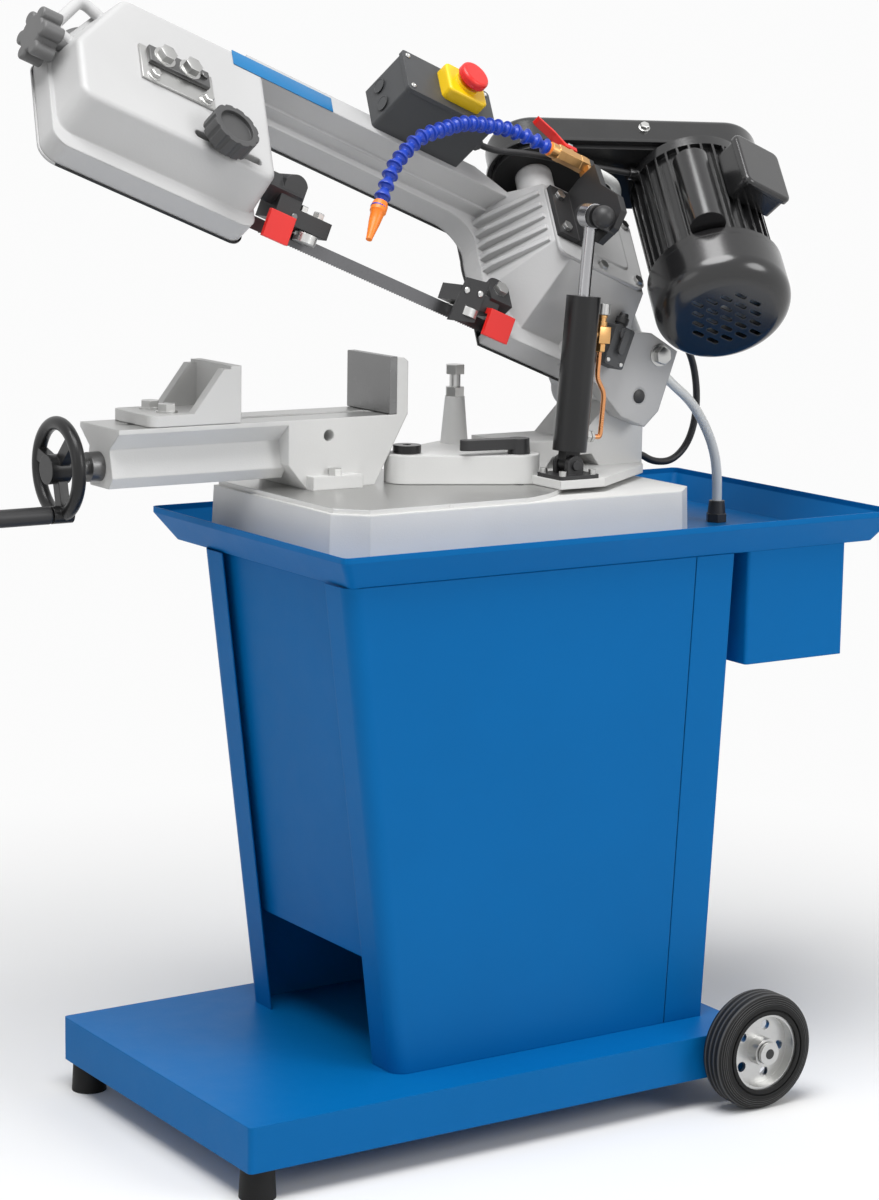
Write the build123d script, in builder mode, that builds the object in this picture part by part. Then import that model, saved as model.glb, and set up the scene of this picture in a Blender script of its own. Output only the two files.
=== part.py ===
"""Metal cutting band saw: a hinged, swivelling saw bow over a screw vise, on a wheeled cabinet stand.

Millimetres, +Z up, floor at Z = 0. +X runs from the vise handwheel to the motor side and +Y away from the user.
The bow has its own axes, measured from the drive wheel's centre: x along the arm towards the hinge,
v up across the wheels, n out of the bow's front face.
"""
import os
from math import atan2, cos, degrees, hypot, pi, radians, sin, tan

from build123d import *

os.makedirs("parts", exist_ok=True)

# Clearances
running_gap = 0.05
sliding_gap = 0.5
swing_gap = 2.0

# Place of the drip tray's centre in the frame
tray_x = 128.25
tray_y = 37.55

# Drip tray
tray_length = 705.0
tray_width = 398.0
tray_flare = 19.0
pan_z = 581.0
lip_z = 609.0
lip_height = 6.0
tray_sheet = 1.5
tray_corner = 8.0

# Cabinet
cabinet_left_top = tray_x - 337.0
cabinet_right_top = tray_x + 139.0
cabinet_left_low = tray_x - 275.0
cabinet_right_low = tray_x + 113.0
cabinet_front = tray_y - 181.0
cabinet_back = tray_y + 116.0
cabinet_sheet = 1.5
cabinet_corner = 16.0
cabinet_return = 45.0
seam_from_right = 50.0
seam_gap = 1.2
panel_recess = 9.0
foot_opening_height = 109.0

# Base plate, feet and wheels
plate_left = tray_x - 476.5
plate_right = tray_x + 142.0
plate_front = tray_y - 238.6
plate_back = tray_y + 163.5
plate_low_z = 31.7
plate_height = 46.5
plate_sheet = 3.0
plate_corner = 5.0
foot_flange = 45.0
foot_radius = 18.5
foot_inset = 20.0
axle_radius = 8.0
wheel_radius = 62.5
wheel_width = 34.0
rim_radius = 41.0
hub_radius = 15.0
axle_x = tray_x + 126.0
wheel_plate_gap = 6.5
axle_cap_radius = 12.0
axle_cap = 4.0

# Coolant tank and hose gland
tank_left = tray_x + 160.0
tank_right = tray_x + 294.0
tank_front = tray_y - 180.0
tank_back = tray_y + 100.0
tank_depth = 122.0
tank_sheet = 2.0
gland_x = tray_x + 258.0
gland_y = tray_y
gland_radius = 12.0
gland_height = 24.0

# Base casting
casting_left = tray_x - 320.0
casting_right = tray_x + 128.0
casting_front = tray_y - 145.0
casting_back = tray_y + 125.0
casting_top = 645.0
casting_wall = 12.0
casting_deck = 26.0
corner_cut = 30.0
pad_height = 5.0
pad_left_width = 126.0
ring_radius = 164.0
slot_radius = 118.5
slot_width = 13.0
tee_width = 25.0
tee_depth = 10.0
slot_depth = 10.0

# Swivel
pivot_x = tray_x - 144.0
pivot_y = tray_y + 19.0
pivot_radius = 12.0
lobe_end_radius = 24.0
lobe_height = 30.0
clamp_x = tray_x - 39.0
clamp_y = tray_y - 36.0
clamp_stud_radius = 6.0
clamp_lug_radius = 22.0
post_x = tray_x - 50.0
post_y = tray_y + 71.5
post_foot_radius = 15.0
post_top_radius = 10.5
post_height = 51.0
stop_bolt_radius = 6.0
stop_bolt_rise = 34.0
hex_across = 19.0

# Vise
vise_y = tray_y + 58.0
bed_z = 722.6
jaw_width = 85.0
vise_left = tray_x - 484.0
vise_block_left = tray_x - 290.0
vise_right_top = tray_x - 146.0
vise_right_low = tray_x - 186.0
fixed_face_x = tray_x - 168.5
moving_face_x = tray_x - 345.6
jaw_plate_thickness = 9.0
jaw_height = 61.0
jaw_wall = 12.0
screw_z = 682.0
screw_radius = 8.0
tunnel_width = 32.0
tunnel_low = 667.0
tunnel_high = 703.0
tongue_width = 14.0
handwheel_radius = 52.5
handwheel_x = tray_x - 529.0
crank_grip_length = 62.0
stop_rod_bore_radius = 6.0
stop_rod_bore_depth = 24.0

# Saw bow: hinge, lift and tilt
hinge_x = tray_x + 110.0
hinge_z = 735.0
lift_angle = 22.0
bow_tilt = 46.0
hinge_to_drive = 110.0
blade_y = tray_y - 26.0
blade_above_hinge = 3.0
wheel_centres = 540.0
blade_length = 1640.0
blade_width = 13.0
blade_thickness = 0.65
hinge_pin_radius = 9.0
column_front = tray_y - 22.0
column_back = tray_y + 60.0
column_boss_radius = 24.0
ear_thickness = 22.0

# Bow casting, in bow axes
rim_back = -10.0
rim_front = 14.0
bow_front = 52.0
wheel_clearance = 2.0
tension_travel = 12.0
beam_low = 52.0
box_run = 135.0
skirt_low = -118.0
throat_right = -97.0
right_box_low = -106.0
right_box_end = 40.0
cover_sheet = 2.0
drum_wall = 5.0

# Band wheels
wheel_back = -8.0
wheel_front = 9.0
wheel_flange = 2.5
wheel_rim = 9.0
wheel_hub = 24.0
idler_shaft_radius = 12.0
drive_shaft_radius = 12.5

# Gearbox, in bow axes
gear_front = 92.0
gear_left = -60.0
gear_right = 60.0
gear_low = -43.0
gear_high = 60.0
gear_cover = 4.0
worm_x = -44.0
worm_n = 68.0
worm_radius = 12.0
worm_wheel_width = 22.0

# Motor and belt drive, in bow axes
motor_x = 109.0
motor_n = 153.0
motor_radius = 67.0
fan_radius = 73.0
fan_low = -106.0
fan_high = -48.0
motor_high = 98.0
fin_count = 32
motor_plate_low = 100.0
motor_plate = 6.0
belt_cover_depth = 44.0
belt_cover_radius = 46.0
belt_cover_lip = 4.0
belt_cover_sheet = 2.5
motor_pulley = 22.0
worm_pulley = 36.0
pulley_width = 14.0
shaft_radius = 8.0
worm_length = 62.0
belt_cover_tail = 38.0
belt_gap = 0.3
belt_thick = 5.0
fan_sheet = 2.0
motor_cable_exit = (134.0, -20.0, 88.0)
cable_v = 92.0
cable_gland = 13.0

# Switch box, in bow axes
switch_left = -259.0
switch_right = -141.0
switch_low = 74.0
switch_high = 133.0
switch_front = 116.0
switch_gland_n = 80.0
button_x = -188.0
button_v = 106.0
button_stem = 8.0
button_travel = 4.0
housing_height = 15.0

# Feed cylinder
cylinder_y = tray_y - 84.0
cylinder_foot_x = tray_x - 9.0
cylinder_foot_z = 673.0
rod_pin_x = tray_x + 13.0
rod_pin_z = 931.0
cylinder_pin_radius = 5.0
barrel_radius = 18.0
barrel_top = 176.0
rod_radius = 6.5
eye_radius = 13.0
eye_width = 14.0
open_pivot_gap = 3.3

# Axes and planes of the bow
lift = radians(lift_angle)
tilt = radians(bow_tilt)
along = Vector(cos(lift), 0, -sin(lift))
rise = Vector(sin(lift), 0, cos(lift))
away = Vector(0, 1, 0)
up = rise * sin(tilt) + away * cos(tilt)
out = rise * cos(tilt) - away * sin(tilt)
hinge = Vector(hinge_x, 0, hinge_z)
blade_radius = (blade_length - 2 * wheel_centres) / (2 * pi)
drive_centre = (
    hinge
    - along * hinge_to_drive
    + away * (blade_y + blade_radius * cos(tilt))
    + rise * (blade_above_hinge + blade_radius * sin(tilt))
)


def bow_point(x, v, n):
    """Point given in bow axes."""
    return drive_centre + along * x + up * v + out * n


def bow_face(n, x=0.0, v=0.0):
    """Plane across the bow's face: sketch axes x and v, growing towards +n."""
    return Plane(origin=bow_point(x, v, n), x_dir=along, z_dir=out)


def bow_top(v, x=0.0, n=0.0):
    """Plane square to v: sketch axes x and -n, growing towards +v."""
    return Plane(origin=bow_point(x, v, n), x_dir=along, z_dir=up)


def bow_end(x, v=0.0, n=0.0):
    """Plane square to the arm: sketch axes v and n, growing towards the hinge."""
    return Plane(origin=bow_point(x, v, n), x_dir=up, z_dir=along)


def arm_side(y):
    """Upright plane along the arm at Y: sketch axes along and rise from the hinge, growing to the user."""
    return Plane(origin=(hinge_x, y, hinge_z), x_dir=along, z_dir=-away)


def front_plane(y):
    """Upright plane at Y: sketch axes X and Z, growing to the user."""
    return Plane.XZ.offset(-y)


def side_plane(x):
    """Upright plane at X: sketch axes Y and Z, growing towards +X."""
    return Plane.YZ.offset(x)


def save(builder, label):
    """Label a finished piece and write its STEP file."""
    builder.part.label = label
    export_step(builder.part, f"parts/{label}.step")


# Base plate: folded tray, open below, with a flange for the feet
plate_length = plate_right - plate_left
plate_width = plate_back - plate_front
plate_centre = ((plate_left + plate_right) / 2, (plate_front + plate_back) / 2)
plate_top = plate_low_z + plate_height
axle_z = wheel_radius
with BuildPart() as base_plate:
    with BuildSketch(Plane.XY.offset(plate_low_z)):
        with Locations(plate_centre):
            RectangleRounded(plate_length, plate_width, plate_corner)
    extrude(amount=plate_height)
    with BuildSketch(Plane.XY.offset(plate_low_z)):
        with Locations(plate_centre):
            Rectangle(plate_length - 2 * plate_sheet, plate_width - 2 * plate_sheet)
    extrude(amount=plate_height - plate_sheet, mode=Mode.SUBTRACT)
    with BuildSketch(Plane.XY.offset(plate_low_z)):
        with Locations((plate_left + foot_flange / 2, plate_centre[1])):
            Rectangle(foot_flange - 2 * plate_sheet, plate_width - 2 * plate_sheet)
    extrude(amount=plate_sheet)
    with BuildSketch(front_plane(plate_back)):
        with Locations((axle_x, axle_z)):
            Circle(axle_radius)
    extrude(amount=plate_width, mode=Mode.SUBTRACT)
save(base_plate, "base_plate")

# Rubber feet under the flange
with BuildPart() as rubber_feet:
    with BuildSketch(Plane.XY):
        with Locations(
            (plate_left + foot_inset, plate_front + foot_inset),
            (plate_left + foot_inset, plate_back - foot_inset),
        ):
            Circle(foot_radius)
    extrude(amount=plate_low_z, taper=3)
save(rubber_feet, "rubber_feet")

# Wheel axle with push-on caps
front_wheel_in = plate_front - wheel_plate_gap
rear_wheel_in = plate_back + wheel_plate_gap
front_wheel_out = front_wheel_in - wheel_width
rear_wheel_out = rear_wheel_in + wheel_width
axle_front = front_wheel_out - 1 - axle_cap
axle_back = rear_wheel_out + 1 + axle_cap
with BuildPart() as wheel_axle:
    with BuildSketch(front_plane(axle_back)):
        with Locations((axle_x, axle_z)):
            Circle(axle_radius)
    extrude(amount=axle_back - axle_front)
    with BuildSketch(front_plane(axle_back), front_plane(axle_front + axle_cap)):
        with Locations((axle_x, axle_z)):
            Circle(axle_cap_radius)
    extrude(amount=axle_cap)
save(wheel_axle, "wheel_axle")


def cart_wheel(label, y_back):
    """Rubber tyre and pressed rim of one cart wheel, whose rear face is at y_back."""
    spoke_web = 5.0
    groove = 2.0
    with BuildPart() as tyre:
        with BuildSketch(front_plane(y_back)):
            with Locations((axle_x, axle_z)):
                Circle(wheel_radius)
                Circle(rim_radius, mode=Mode.SUBTRACT)
        extrude(amount=wheel_width)
        fillet(tyre.edges().filter_by(GeomType.CIRCLE).sort_by(SortBy.RADIUS)[-2:], 9)
        with BuildSketch(front_plane(y_back)):
            with Locations((axle_x, axle_z)):
                Circle(rim_radius + groove + 4)
                Circle(rim_radius + 4, mode=Mode.SUBTRACT)
        extrude(amount=groove, mode=Mode.SUBTRACT)
        with BuildSketch(front_plane(y_back - wheel_width + groove)):
            with Locations((axle_x, axle_z)):
                Circle(rim_radius + groove + 4)
                Circle(rim_radius + 4, mode=Mode.SUBTRACT)
        extrude(amount=groove, mode=Mode.SUBTRACT)
    save(tyre, f"{label}_tyre")
    with BuildPart() as rim:
        with BuildSketch(front_plane(y_back - 3)):
            with Locations((axle_x, axle_z)):
                Circle(rim_radius)
                Circle(rim_radius - 3, mode=Mode.SUBTRACT)
        extrude(amount=wheel_width - 6)
        with BuildSketch(front_plane(y_back - (wheel_width - spoke_web) / 2)):
            with Locations((axle_x, axle_z)):
                Circle(rim_radius - 1)
                with PolarLocations(0.66 * rim_radius, 5):
                    Circle(5.5, mode=Mode.SUBTRACT)
        extrude(amount=spoke_web)
        with BuildSketch(front_plane(y_back)):
            with Locations((axle_x, axle_z)):
                Circle(hub_radius)
        extrude(amount=wheel_width)
        with BuildSketch(front_plane(y_back)):
            with Locations((axle_x, axle_z)):
                Circle(axle_radius + running_gap)
        extrude(amount=wheel_width, mode=Mode.SUBTRACT)
    save(rim, f"{label}_rim")


cart_wheel("front", front_wheel_in)
cart_wheel("rear", rear_wheel_out)


def cabinet_volume(inset, low_z):
    """Tapered volume of the cabinet, drawn in by inset on its four sides, rounded on its left corners."""
    with BuildPart() as volume:
        with BuildSketch(front_plane(cabinet_back - inset)):
            with BuildLine():
                Polyline(
                    (cabinet_left_low + inset, low_z),
                    (cabinet_right_low - inset, low_z),
                    (cabinet_right_top - inset, pan_z),
                    (cabinet_left_top + inset, pan_z),
                    close=True,
                )
            make_face()
        extrude(amount=cabinet_back - cabinet_front - 2 * inset)
        left_corners = volume.faces().sort_by(Axis.X)[0].edges().filter_by(Axis.Y, reverse=True)
        fillet(left_corners, cabinet_corner - inset)
    return volume.part


cabinet_skin = cabinet_volume(0, plate_top) - cabinet_volume(cabinet_sheet, plate_top)
seam_top = cabinet_right_top - seam_from_right
seam_low = cabinet_right_low - seam_from_right
inside_y = cabinet_front + cabinet_return


def seam_region(y_from, y_to, left_shift, left_limit):
    """Region left of the slanted front seam, between two depths."""
    with BuildPart() as region:
        with BuildSketch(front_plane(y_to)):
            with BuildLine():
                Polyline(
                    (left_limit, plate_top),
                    (seam_low + left_shift, plate_top),
                    (seam_top + left_shift, pan_z),
                    (left_limit, pan_z),
                    close=True,
                )
            make_face()
        extrude(amount=y_to - y_from)
    return region.part


outer_left = cabinet_left_top - 1
left_of_seam = seam_region(cabinet_front - 1, inside_y, 0, outer_left)
left_of_seam_gap = seam_region(cabinet_front - 1, inside_y, seam_gap, outer_left)
with BuildPart() as cabinet_front_wrap:
    add(cabinet_skin)
    add(left_of_seam, mode=Mode.INTERSECT)
save(cabinet_front_wrap, "cabinet_front")

# Recessed left panel between the two returns, cut away at the foot
recess = panel_recess + cabinet_sheet
with BuildPart() as cabinet_left:
    with BuildSketch(front_plane(cabinet_back - cabinet_sheet - seam_gap)):
        with BuildLine():
            slope = (cabinet_left_low - cabinet_left_top) / (pan_z - plate_top)
            foot_x = cabinet_left_low - slope * foot_opening_height + recess
            Polyline(
                (foot_x, plate_top + foot_opening_height),
                (foot_x + cabinet_sheet, plate_top + foot_opening_height),
                (cabinet_left_top + recess + cabinet_sheet, pan_z),
                (cabinet_left_top + recess, pan_z),
                close=True,
            )
        make_face()
    extrude(amount=cabinet_back - cabinet_front - 2 * (cabinet_sheet + seam_gap))
save(cabinet_left, "cabinet_left")

# Right and rear shell with its own return on the left
with BuildPart() as cabinet_shell:
    add(cabinet_skin)
    add(left_of_seam_gap, mode=Mode.SUBTRACT)
    with BuildSketch(Plane.XY.offset(plate_top)):
        with BuildLine():
            Polyline(
                (outer_left, cabinet_front - 1),
                (cabinet_left_low + cabinet_corner + cabinet_return, cabinet_front - 1),
                (cabinet_left_low + cabinet_corner + cabinet_return, cabinet_back - cabinet_return),
                (outer_left, cabinet_back - cabinet_return),
                close=True,
            )
        make_face()
    extrude(amount=pan_z - plate_top, mode=Mode.SUBTRACT)
save(cabinet_shell, "cabinet_shell")

# Drip tray with flared walls and a folded lip
pan_length = tray_length - 2 * tray_flare
pan_width = tray_width - 2 * tray_flare
tray_centre = (tray_x, tray_y)
with BuildPart() as drip_tray:
    for inset, mode in ((0.0, Mode.ADD), (tray_sheet, Mode.SUBTRACT)):
        with BuildSketch(Plane.XY.offset(pan_z + inset)):
            with Locations(tray_centre):
                RectangleRounded(pan_length - 2 * inset, pan_width - 2 * inset, tray_corner - inset)
        with BuildSketch(Plane.XY.offset(lip_z)):
            with Locations(tray_centre):
                RectangleRounded(tray_length - 2 * inset, tray_width - 2 * inset, tray_corner - inset)
        loft(ruled=True, mode=mode)
    with BuildSketch(Plane.XY.offset(lip_z)):
        with Locations(tray_centre):
            RectangleRounded(tray_length, tray_width, tray_corner)
            RectangleRounded(
                tray_length - 2 * tray_sheet, tray_width - 2 * tray_sheet, tray_corner - tray_sheet, mode=Mode.SUBTRACT
            )
    extrude(amount=lip_height)
    with BuildSketch(Plane.XY.offset(pan_z)):
        with Locations((gland_x, gland_y)):
            Circle(gland_radius - 4)
    extrude(amount=tray_sheet, mode=Mode.SUBTRACT)
save(drip_tray, "drip_tray")

# Coolant tank hung under the tray
tank_centre = ((tank_left + tank_right) / 2, (tank_front + tank_back) / 2)
with BuildPart() as coolant_tank:
    with BuildSketch(Plane.XY.offset(pan_z - tank_depth)):
        with Locations(tank_centre):
            RectangleRounded(tank_right - tank_left, tank_back - tank_front, 4)
    extrude(amount=tank_depth)
    with BuildSketch(Plane.XY.offset(pan_z - tank_depth + tank_sheet)):
        with Locations(tank_centre):
            Rectangle(tank_right - tank_left - 2 * tank_sheet, tank_back - tank_front - 2 * tank_sheet)
    extrude(amount=tank_depth - tank_sheet, mode=Mode.SUBTRACT)
save(coolant_tank, "coolant_tank")

# Hose gland screwed into the tray
hose_radius = 5.5
pan_top = pan_z + tray_sheet
with BuildPart() as hose_gland:
    with BuildSketch(Plane.XY.offset(pan_top)):
        with Locations((gland_x, gland_y)):
            RegularPolygon(gland_radius, 6)
    extrude(amount=0.4 * gland_height)
    with BuildSketch(Plane.XY.offset(pan_top + 0.4 * gland_height)):
        with Locations((gland_x, gland_y)):
            Circle(0.85 * gland_radius)
    extrude(amount=0.6 * gland_height, taper=6)
    with BuildSketch(Plane.XY.offset(pan_z)):
        with Locations((gland_x, gland_y)):
            Circle(gland_radius - 4)
    extrude(amount=tray_sheet)
save(hose_gland, "hose_gland")

# Base casting: hollow block with a machined pad, arc T-slot and pivot
machined_z = casting_top + pad_height
casting_low = pan_top
swivel_low = machined_z + sliding_gap
lobe_top = swivel_low + lobe_height


def casting_outline(inset):
    """Plan of the base casting with its two cut front corners, drawn in by inset."""
    cut = corner_cut - 0.6 * inset
    Polyline(
        (casting_left + inset, casting_back - inset),
        (casting_left + inset, casting_front + inset + cut),
        (casting_left + inset + cut, casting_front + inset),
        (casting_right - inset - cut, casting_front + inset),
        (casting_right - inset, casting_front + inset + cut),
        (casting_right - inset, casting_back - inset),
        close=True,
    )


with BuildPart() as base_casting:
    with BuildSketch(Plane.XY.offset(casting_low)):
        with BuildLine():
            casting_outline(0)
        make_face()
    extrude(amount=casting_top - casting_low, taper=2)
    with BuildSketch(Plane.XY.offset(casting_top - 1)) as machined_pad:
        with BuildLine():
            casting_outline(6)
        make_face()
        with BuildSketch(mode=Mode.PRIVATE) as machined_area:
            with Locations((pivot_x, pivot_y)):
                Circle(ring_radius)
            with Locations((casting_left + pad_left_width / 2, (casting_front + casting_back) / 2)):
                Rectangle(pad_left_width, casting_back - casting_front)
        add(machined_area.sketch, mode=Mode.INTERSECT)
    extrude(amount=pad_height + 1)
    with BuildSketch(Plane.XY.offset(casting_low)):
        with BuildLine():
            casting_outline(casting_wall)
        make_face()
    extrude(amount=casting_top - casting_deck - casting_low, mode=Mode.SUBTRACT)
    for depth, width in ((slot_depth, slot_width), (slot_depth + tee_depth, tee_width)):
        with BuildSketch(Plane.XY.offset(machined_z - depth)):
            with BuildLine(mode=Mode.PRIVATE) as slot_path:
                CenterArc((pivot_x, pivot_y), slot_radius, -36, 66)
            SlotArc(slot_path.wires()[0], width)
        cut_height = slot_depth if width == slot_width else tee_depth
        extrude(amount=cut_height, mode=Mode.SUBTRACT)
    with BuildSketch(Plane.XY.offset(machined_z)):
        with Locations((pivot_x, pivot_y)):
            Circle(pivot_radius)
    extrude(amount=lobe_top - machined_z + 1)
    with BuildSketch(Plane.XY.offset(lobe_top + 1)):
        with Locations((pivot_x, pivot_y)):
            Circle(pivot_radius + 3)
            RegularPolygon(5, 6, mode=Mode.SUBTRACT)
    extrude(amount=8)
save(base_casting, "base_casting")

# Vise body: dovetail-like bed over a screw tunnel, with the fixed jaw cast on
half_bed = jaw_width / 2
block_foot_z = machined_z
with BuildPart() as vise_body:
    with BuildSketch(side_plane(vise_left)):
        with BuildLine():
            Polyline(
                (vise_y - half_bed, bed_z),
                (vise_y - half_bed, bed_z - 5),
                (vise_y - 22, bed_z - 22),
                (vise_y - 28, tunnel_low + 5),
                (vise_y - 20, tunnel_low - 6),
                (vise_y + 20, tunnel_low - 6),
                (vise_y + 28, tunnel_low + 5),
                (vise_y + 22, bed_z - 22),
                (vise_y + half_bed, bed_z - 5),
                (vise_y + half_bed, bed_z),
                close=True,
            )
        make_face()
    extrude(amount=vise_block_left - vise_left + 5)
    with BuildSketch(front_plane(vise_y + half_bed)):
        with BuildLine():
            Polyline(
                (vise_block_left, bed_z),
                (vise_right_top, bed_z),
                (vise_right_low, block_foot_z),
                (vise_block_left + 22, block_foot_z),
                (vise_block_left, block_foot_z + 26),
                close=True,
            )
        make_face()
    extrude(amount=jaw_width)
    foot_front = vise_y - half_bed - 13
    with BuildSketch(Plane.XY.offset(block_foot_z)):
        with Locations(((vise_block_left + vise_right_low) / 2, vise_y)):
            Rectangle(vise_right_low - vise_block_left - 44, jaw_width + 26)
    extrude(amount=14)
    with BuildSketch(Plane.XY.offset(block_foot_z + 14)):
        for bolt_y in (foot_front + 7, vise_y + half_bed + 6):
            with Locations(((vise_block_left + vise_right_low) / 2, bolt_y)):
                RegularPolygon(6.5, 6, major_radius=False)
    extrude(amount=7)
    with BuildSketch(front_plane(vise_y + half_bed)):
        with BuildLine():
            Polyline(
                (fixed_face_x + jaw_plate_thickness, bed_z - 1),
                (vise_right_top, bed_z - 1),
                (vise_right_top, bed_z + jaw_height - 6),
                (vise_right_top - 5, bed_z + jaw_height - 2),
                (fixed_face_x + jaw_plate_thickness, bed_z + jaw_height - 2),
                close=True,
            )
        make_face()
    extrude(amount=jaw_width)
    with BuildSketch(side_plane(vise_left + 14)):
        with Locations((vise_y, (tunnel_low + tunnel_high) / 2)):
            Rectangle(tunnel_width, tunnel_high - tunnel_low)
    extrude(amount=vise_right_low - vise_left - 28, mode=Mode.SUBTRACT)
    with BuildSketch(side_plane(vise_left + 24)):
        with Locations((vise_y, bed_z - 10)):
            Rectangle(tongue_width + 2 * sliding_gap, 22)
    extrude(amount=fixed_face_x - vise_left - 24, mode=Mode.SUBTRACT)
    with BuildSketch(side_plane(vise_left)):
        with Locations((vise_y, screw_z)):
            Circle(screw_radius + running_gap)
    extrude(amount=16, mode=Mode.SUBTRACT)
    with BuildSketch(front_plane(vise_y - half_bed + stop_rod_bore_depth)):
        with Locations((vise_block_left + 48, bed_z - 18)):
            Circle(stop_rod_bore_radius)
    extrude(amount=stop_rod_bore_depth, mode=Mode.SUBTRACT)
save(vise_body, "vise_body")

# Ground plate of the fixed jaw
with BuildPart() as jaw_plate:
    with BuildSketch(side_plane(fixed_face_x)):
        with Locations((vise_y, bed_z + sliding_gap + (jaw_height - 1) / 2)):
            Rectangle(jaw_width, jaw_height - 1)
    extrude(amount=jaw_plate_thickness)
    chamfer(jaw_plate.edges().filter_by(Axis.Y).group_by(Axis.X)[0], 0.8)
save(jaw_plate, "jaw_plate")

# Moving jaw: face, two triangular ribs, base with hex bolts, tongue and nut
jaw_low = bed_z + sliding_gap
jaw_base_length = 103.0
jaw_base_height = 11.5
rib_foot = 42.0
with BuildPart() as moving_jaw:
    with BuildSketch(side_plane(moving_face_x - jaw_wall)):
        with Locations((vise_y, jaw_low + (jaw_height - 3) / 2)):
            Rectangle(jaw_width, jaw_height - 3)
    extrude(amount=jaw_wall)
    with BuildSketch(Plane.XY.offset(jaw_low)):
        with Locations((moving_face_x - jaw_base_length / 2, vise_y)):
            Rectangle(jaw_base_length, jaw_width)
    extrude(amount=jaw_base_height)
    fillet(moving_jaw.edges().filter_by(Axis.Z).group_by(Axis.X)[0], 10)
    rib_planes = [front_plane(vise_y - half_bed + 12), front_plane(vise_y + half_bed)]
    with BuildSketch(*rib_planes):
        with BuildLine():
            Polyline(
                (moving_face_x - jaw_wall, jaw_low),
                (moving_face_x - jaw_wall, jaw_low + jaw_height - 6),
                (moving_face_x - jaw_wall - 8, jaw_low + jaw_height - 6),
                (moving_face_x - jaw_wall - rib_foot, jaw_low + jaw_base_height),
                (moving_face_x - jaw_wall - rib_foot, jaw_low),
                close=True,
            )
        make_face()
    extrude(amount=12)
    with BuildSketch(Plane.XY.offset(jaw_low + jaw_base_height)):
        with Locations((moving_face_x - 72, vise_y - 18), (moving_face_x - 72, vise_y + 18)):
            Circle(11)
    extrude(amount=2)
    with BuildSketch(Plane.XY.offset(jaw_low + jaw_base_height + 2)):
        with Locations((moving_face_x - 72, vise_y - 18), (moving_face_x - 72, vise_y + 18)):
            RegularPolygon(8.5, 6, major_radius=False)
    extrude(amount=7)
    nut_half = 30.0
    nut_x = moving_face_x - 60
    with BuildSketch(side_plane(nut_x - nut_half)):
        with Locations((vise_y, (jaw_low + tunnel_high) / 2)):
            Rectangle(tongue_width, jaw_low - tunnel_high + 4)
        with Locations((vise_y, (tunnel_low + tunnel_high) / 2)):
            Rectangle(tunnel_width - 2 * sliding_gap, tunnel_high - tunnel_low - 2 * sliding_gap)
        with Locations((vise_y, screw_z)):
            Circle(screw_radius + running_gap, mode=Mode.SUBTRACT)
    extrude(amount=2 * nut_half)
save(moving_jaw, "moving_jaw")

# Vise screw in its end bearing, running the length of the tunnel
screw_end = fixed_face_x - 40
with BuildPart() as vise_screw:
    with BuildSketch(side_plane(handwheel_x)):
        with Locations((vise_y, screw_z)):
            Circle(screw_radius)
    extrude(amount=screw_end - handwheel_x)
    with BuildSketch(side_plane(vise_left - 14)):
        with Locations((vise_y, screw_z)):
            Circle(screw_radius + 7)
    extrude(amount=14 - sliding_gap)
save(vise_screw, "vise_screw")

# Handwheel: round rim, three spokes, hub and crank boss
hub_length = 28.0
rim_section = 7.0
crank_radius = handwheel_radius - rim_section
crank_angle = radians(-104)
crank_y = vise_y + crank_radius * cos(crank_angle)
crank_z = screw_z + crank_radius * sin(crank_angle)
with BuildPart() as handwheel:
    with BuildSketch(Plane(origin=(handwheel_x, vise_y, screw_z), x_dir=(0, 1, 0), z_dir=(0, 0, 1))):
        with Locations((crank_radius, 0)):
            Circle(rim_section)
    revolve(axis=Axis((handwheel_x, vise_y, screw_z), (1, 0, 0)), revolution_arc=360)
    with BuildSketch(side_plane(handwheel_x - 5)):
        with Locations((vise_y, screw_z)):
            with PolarLocations(0, 3, start_angle=-104):
                with Locations((crank_radius / 2, 0)):
                    Rectangle(crank_radius, 13)
    extrude(amount=10)
    with BuildSketch(side_plane(handwheel_x - hub_length / 2)):
        with Locations((vise_y, screw_z)):
            Circle(15)
        with Locations((crank_y, crank_z)):
            Circle(9)
    extrude(amount=hub_length / 2 + 8)
    with BuildSketch(side_plane(handwheel_x)):
        with Locations((vise_y, screw_z)):
            Circle(screw_radius + running_gap)
    extrude(amount=hub_length, mode=Mode.SUBTRACT)
    with BuildSketch(side_plane(handwheel_x - hub_length / 2 - crank_grip_length - 4)):
        with Locations((crank_y, crank_z)):
            Circle(4)
    extrude(amount=crank_grip_length + 10)
save(handwheel, "handwheel")

# Crank grip turning on its pin
grip_right = handwheel_x - hub_length / 2 - sliding_gap
with BuildPart() as crank_grip:
    with BuildSketch(side_plane(grip_right - crank_grip_length), side_plane(grip_right - 0.5 * crank_grip_length)):
        with Locations((crank_y, crank_z)):
            Circle(9)
    extrude(amount=0.5 * crank_grip_length, taper=0)
    with BuildSketch(side_plane(grip_right - crank_grip_length)):
        with Locations((crank_y, crank_z)):
            Circle(4 + running_gap)
    extrude(amount=crank_grip_length, mode=Mode.SUBTRACT)
    fillet(crank_grip.edges().filter_by(GeomType.CIRCLE).sort_by(SortBy.RADIUS)[-2:], 3)
save(crank_grip, "crank_grip")

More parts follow.
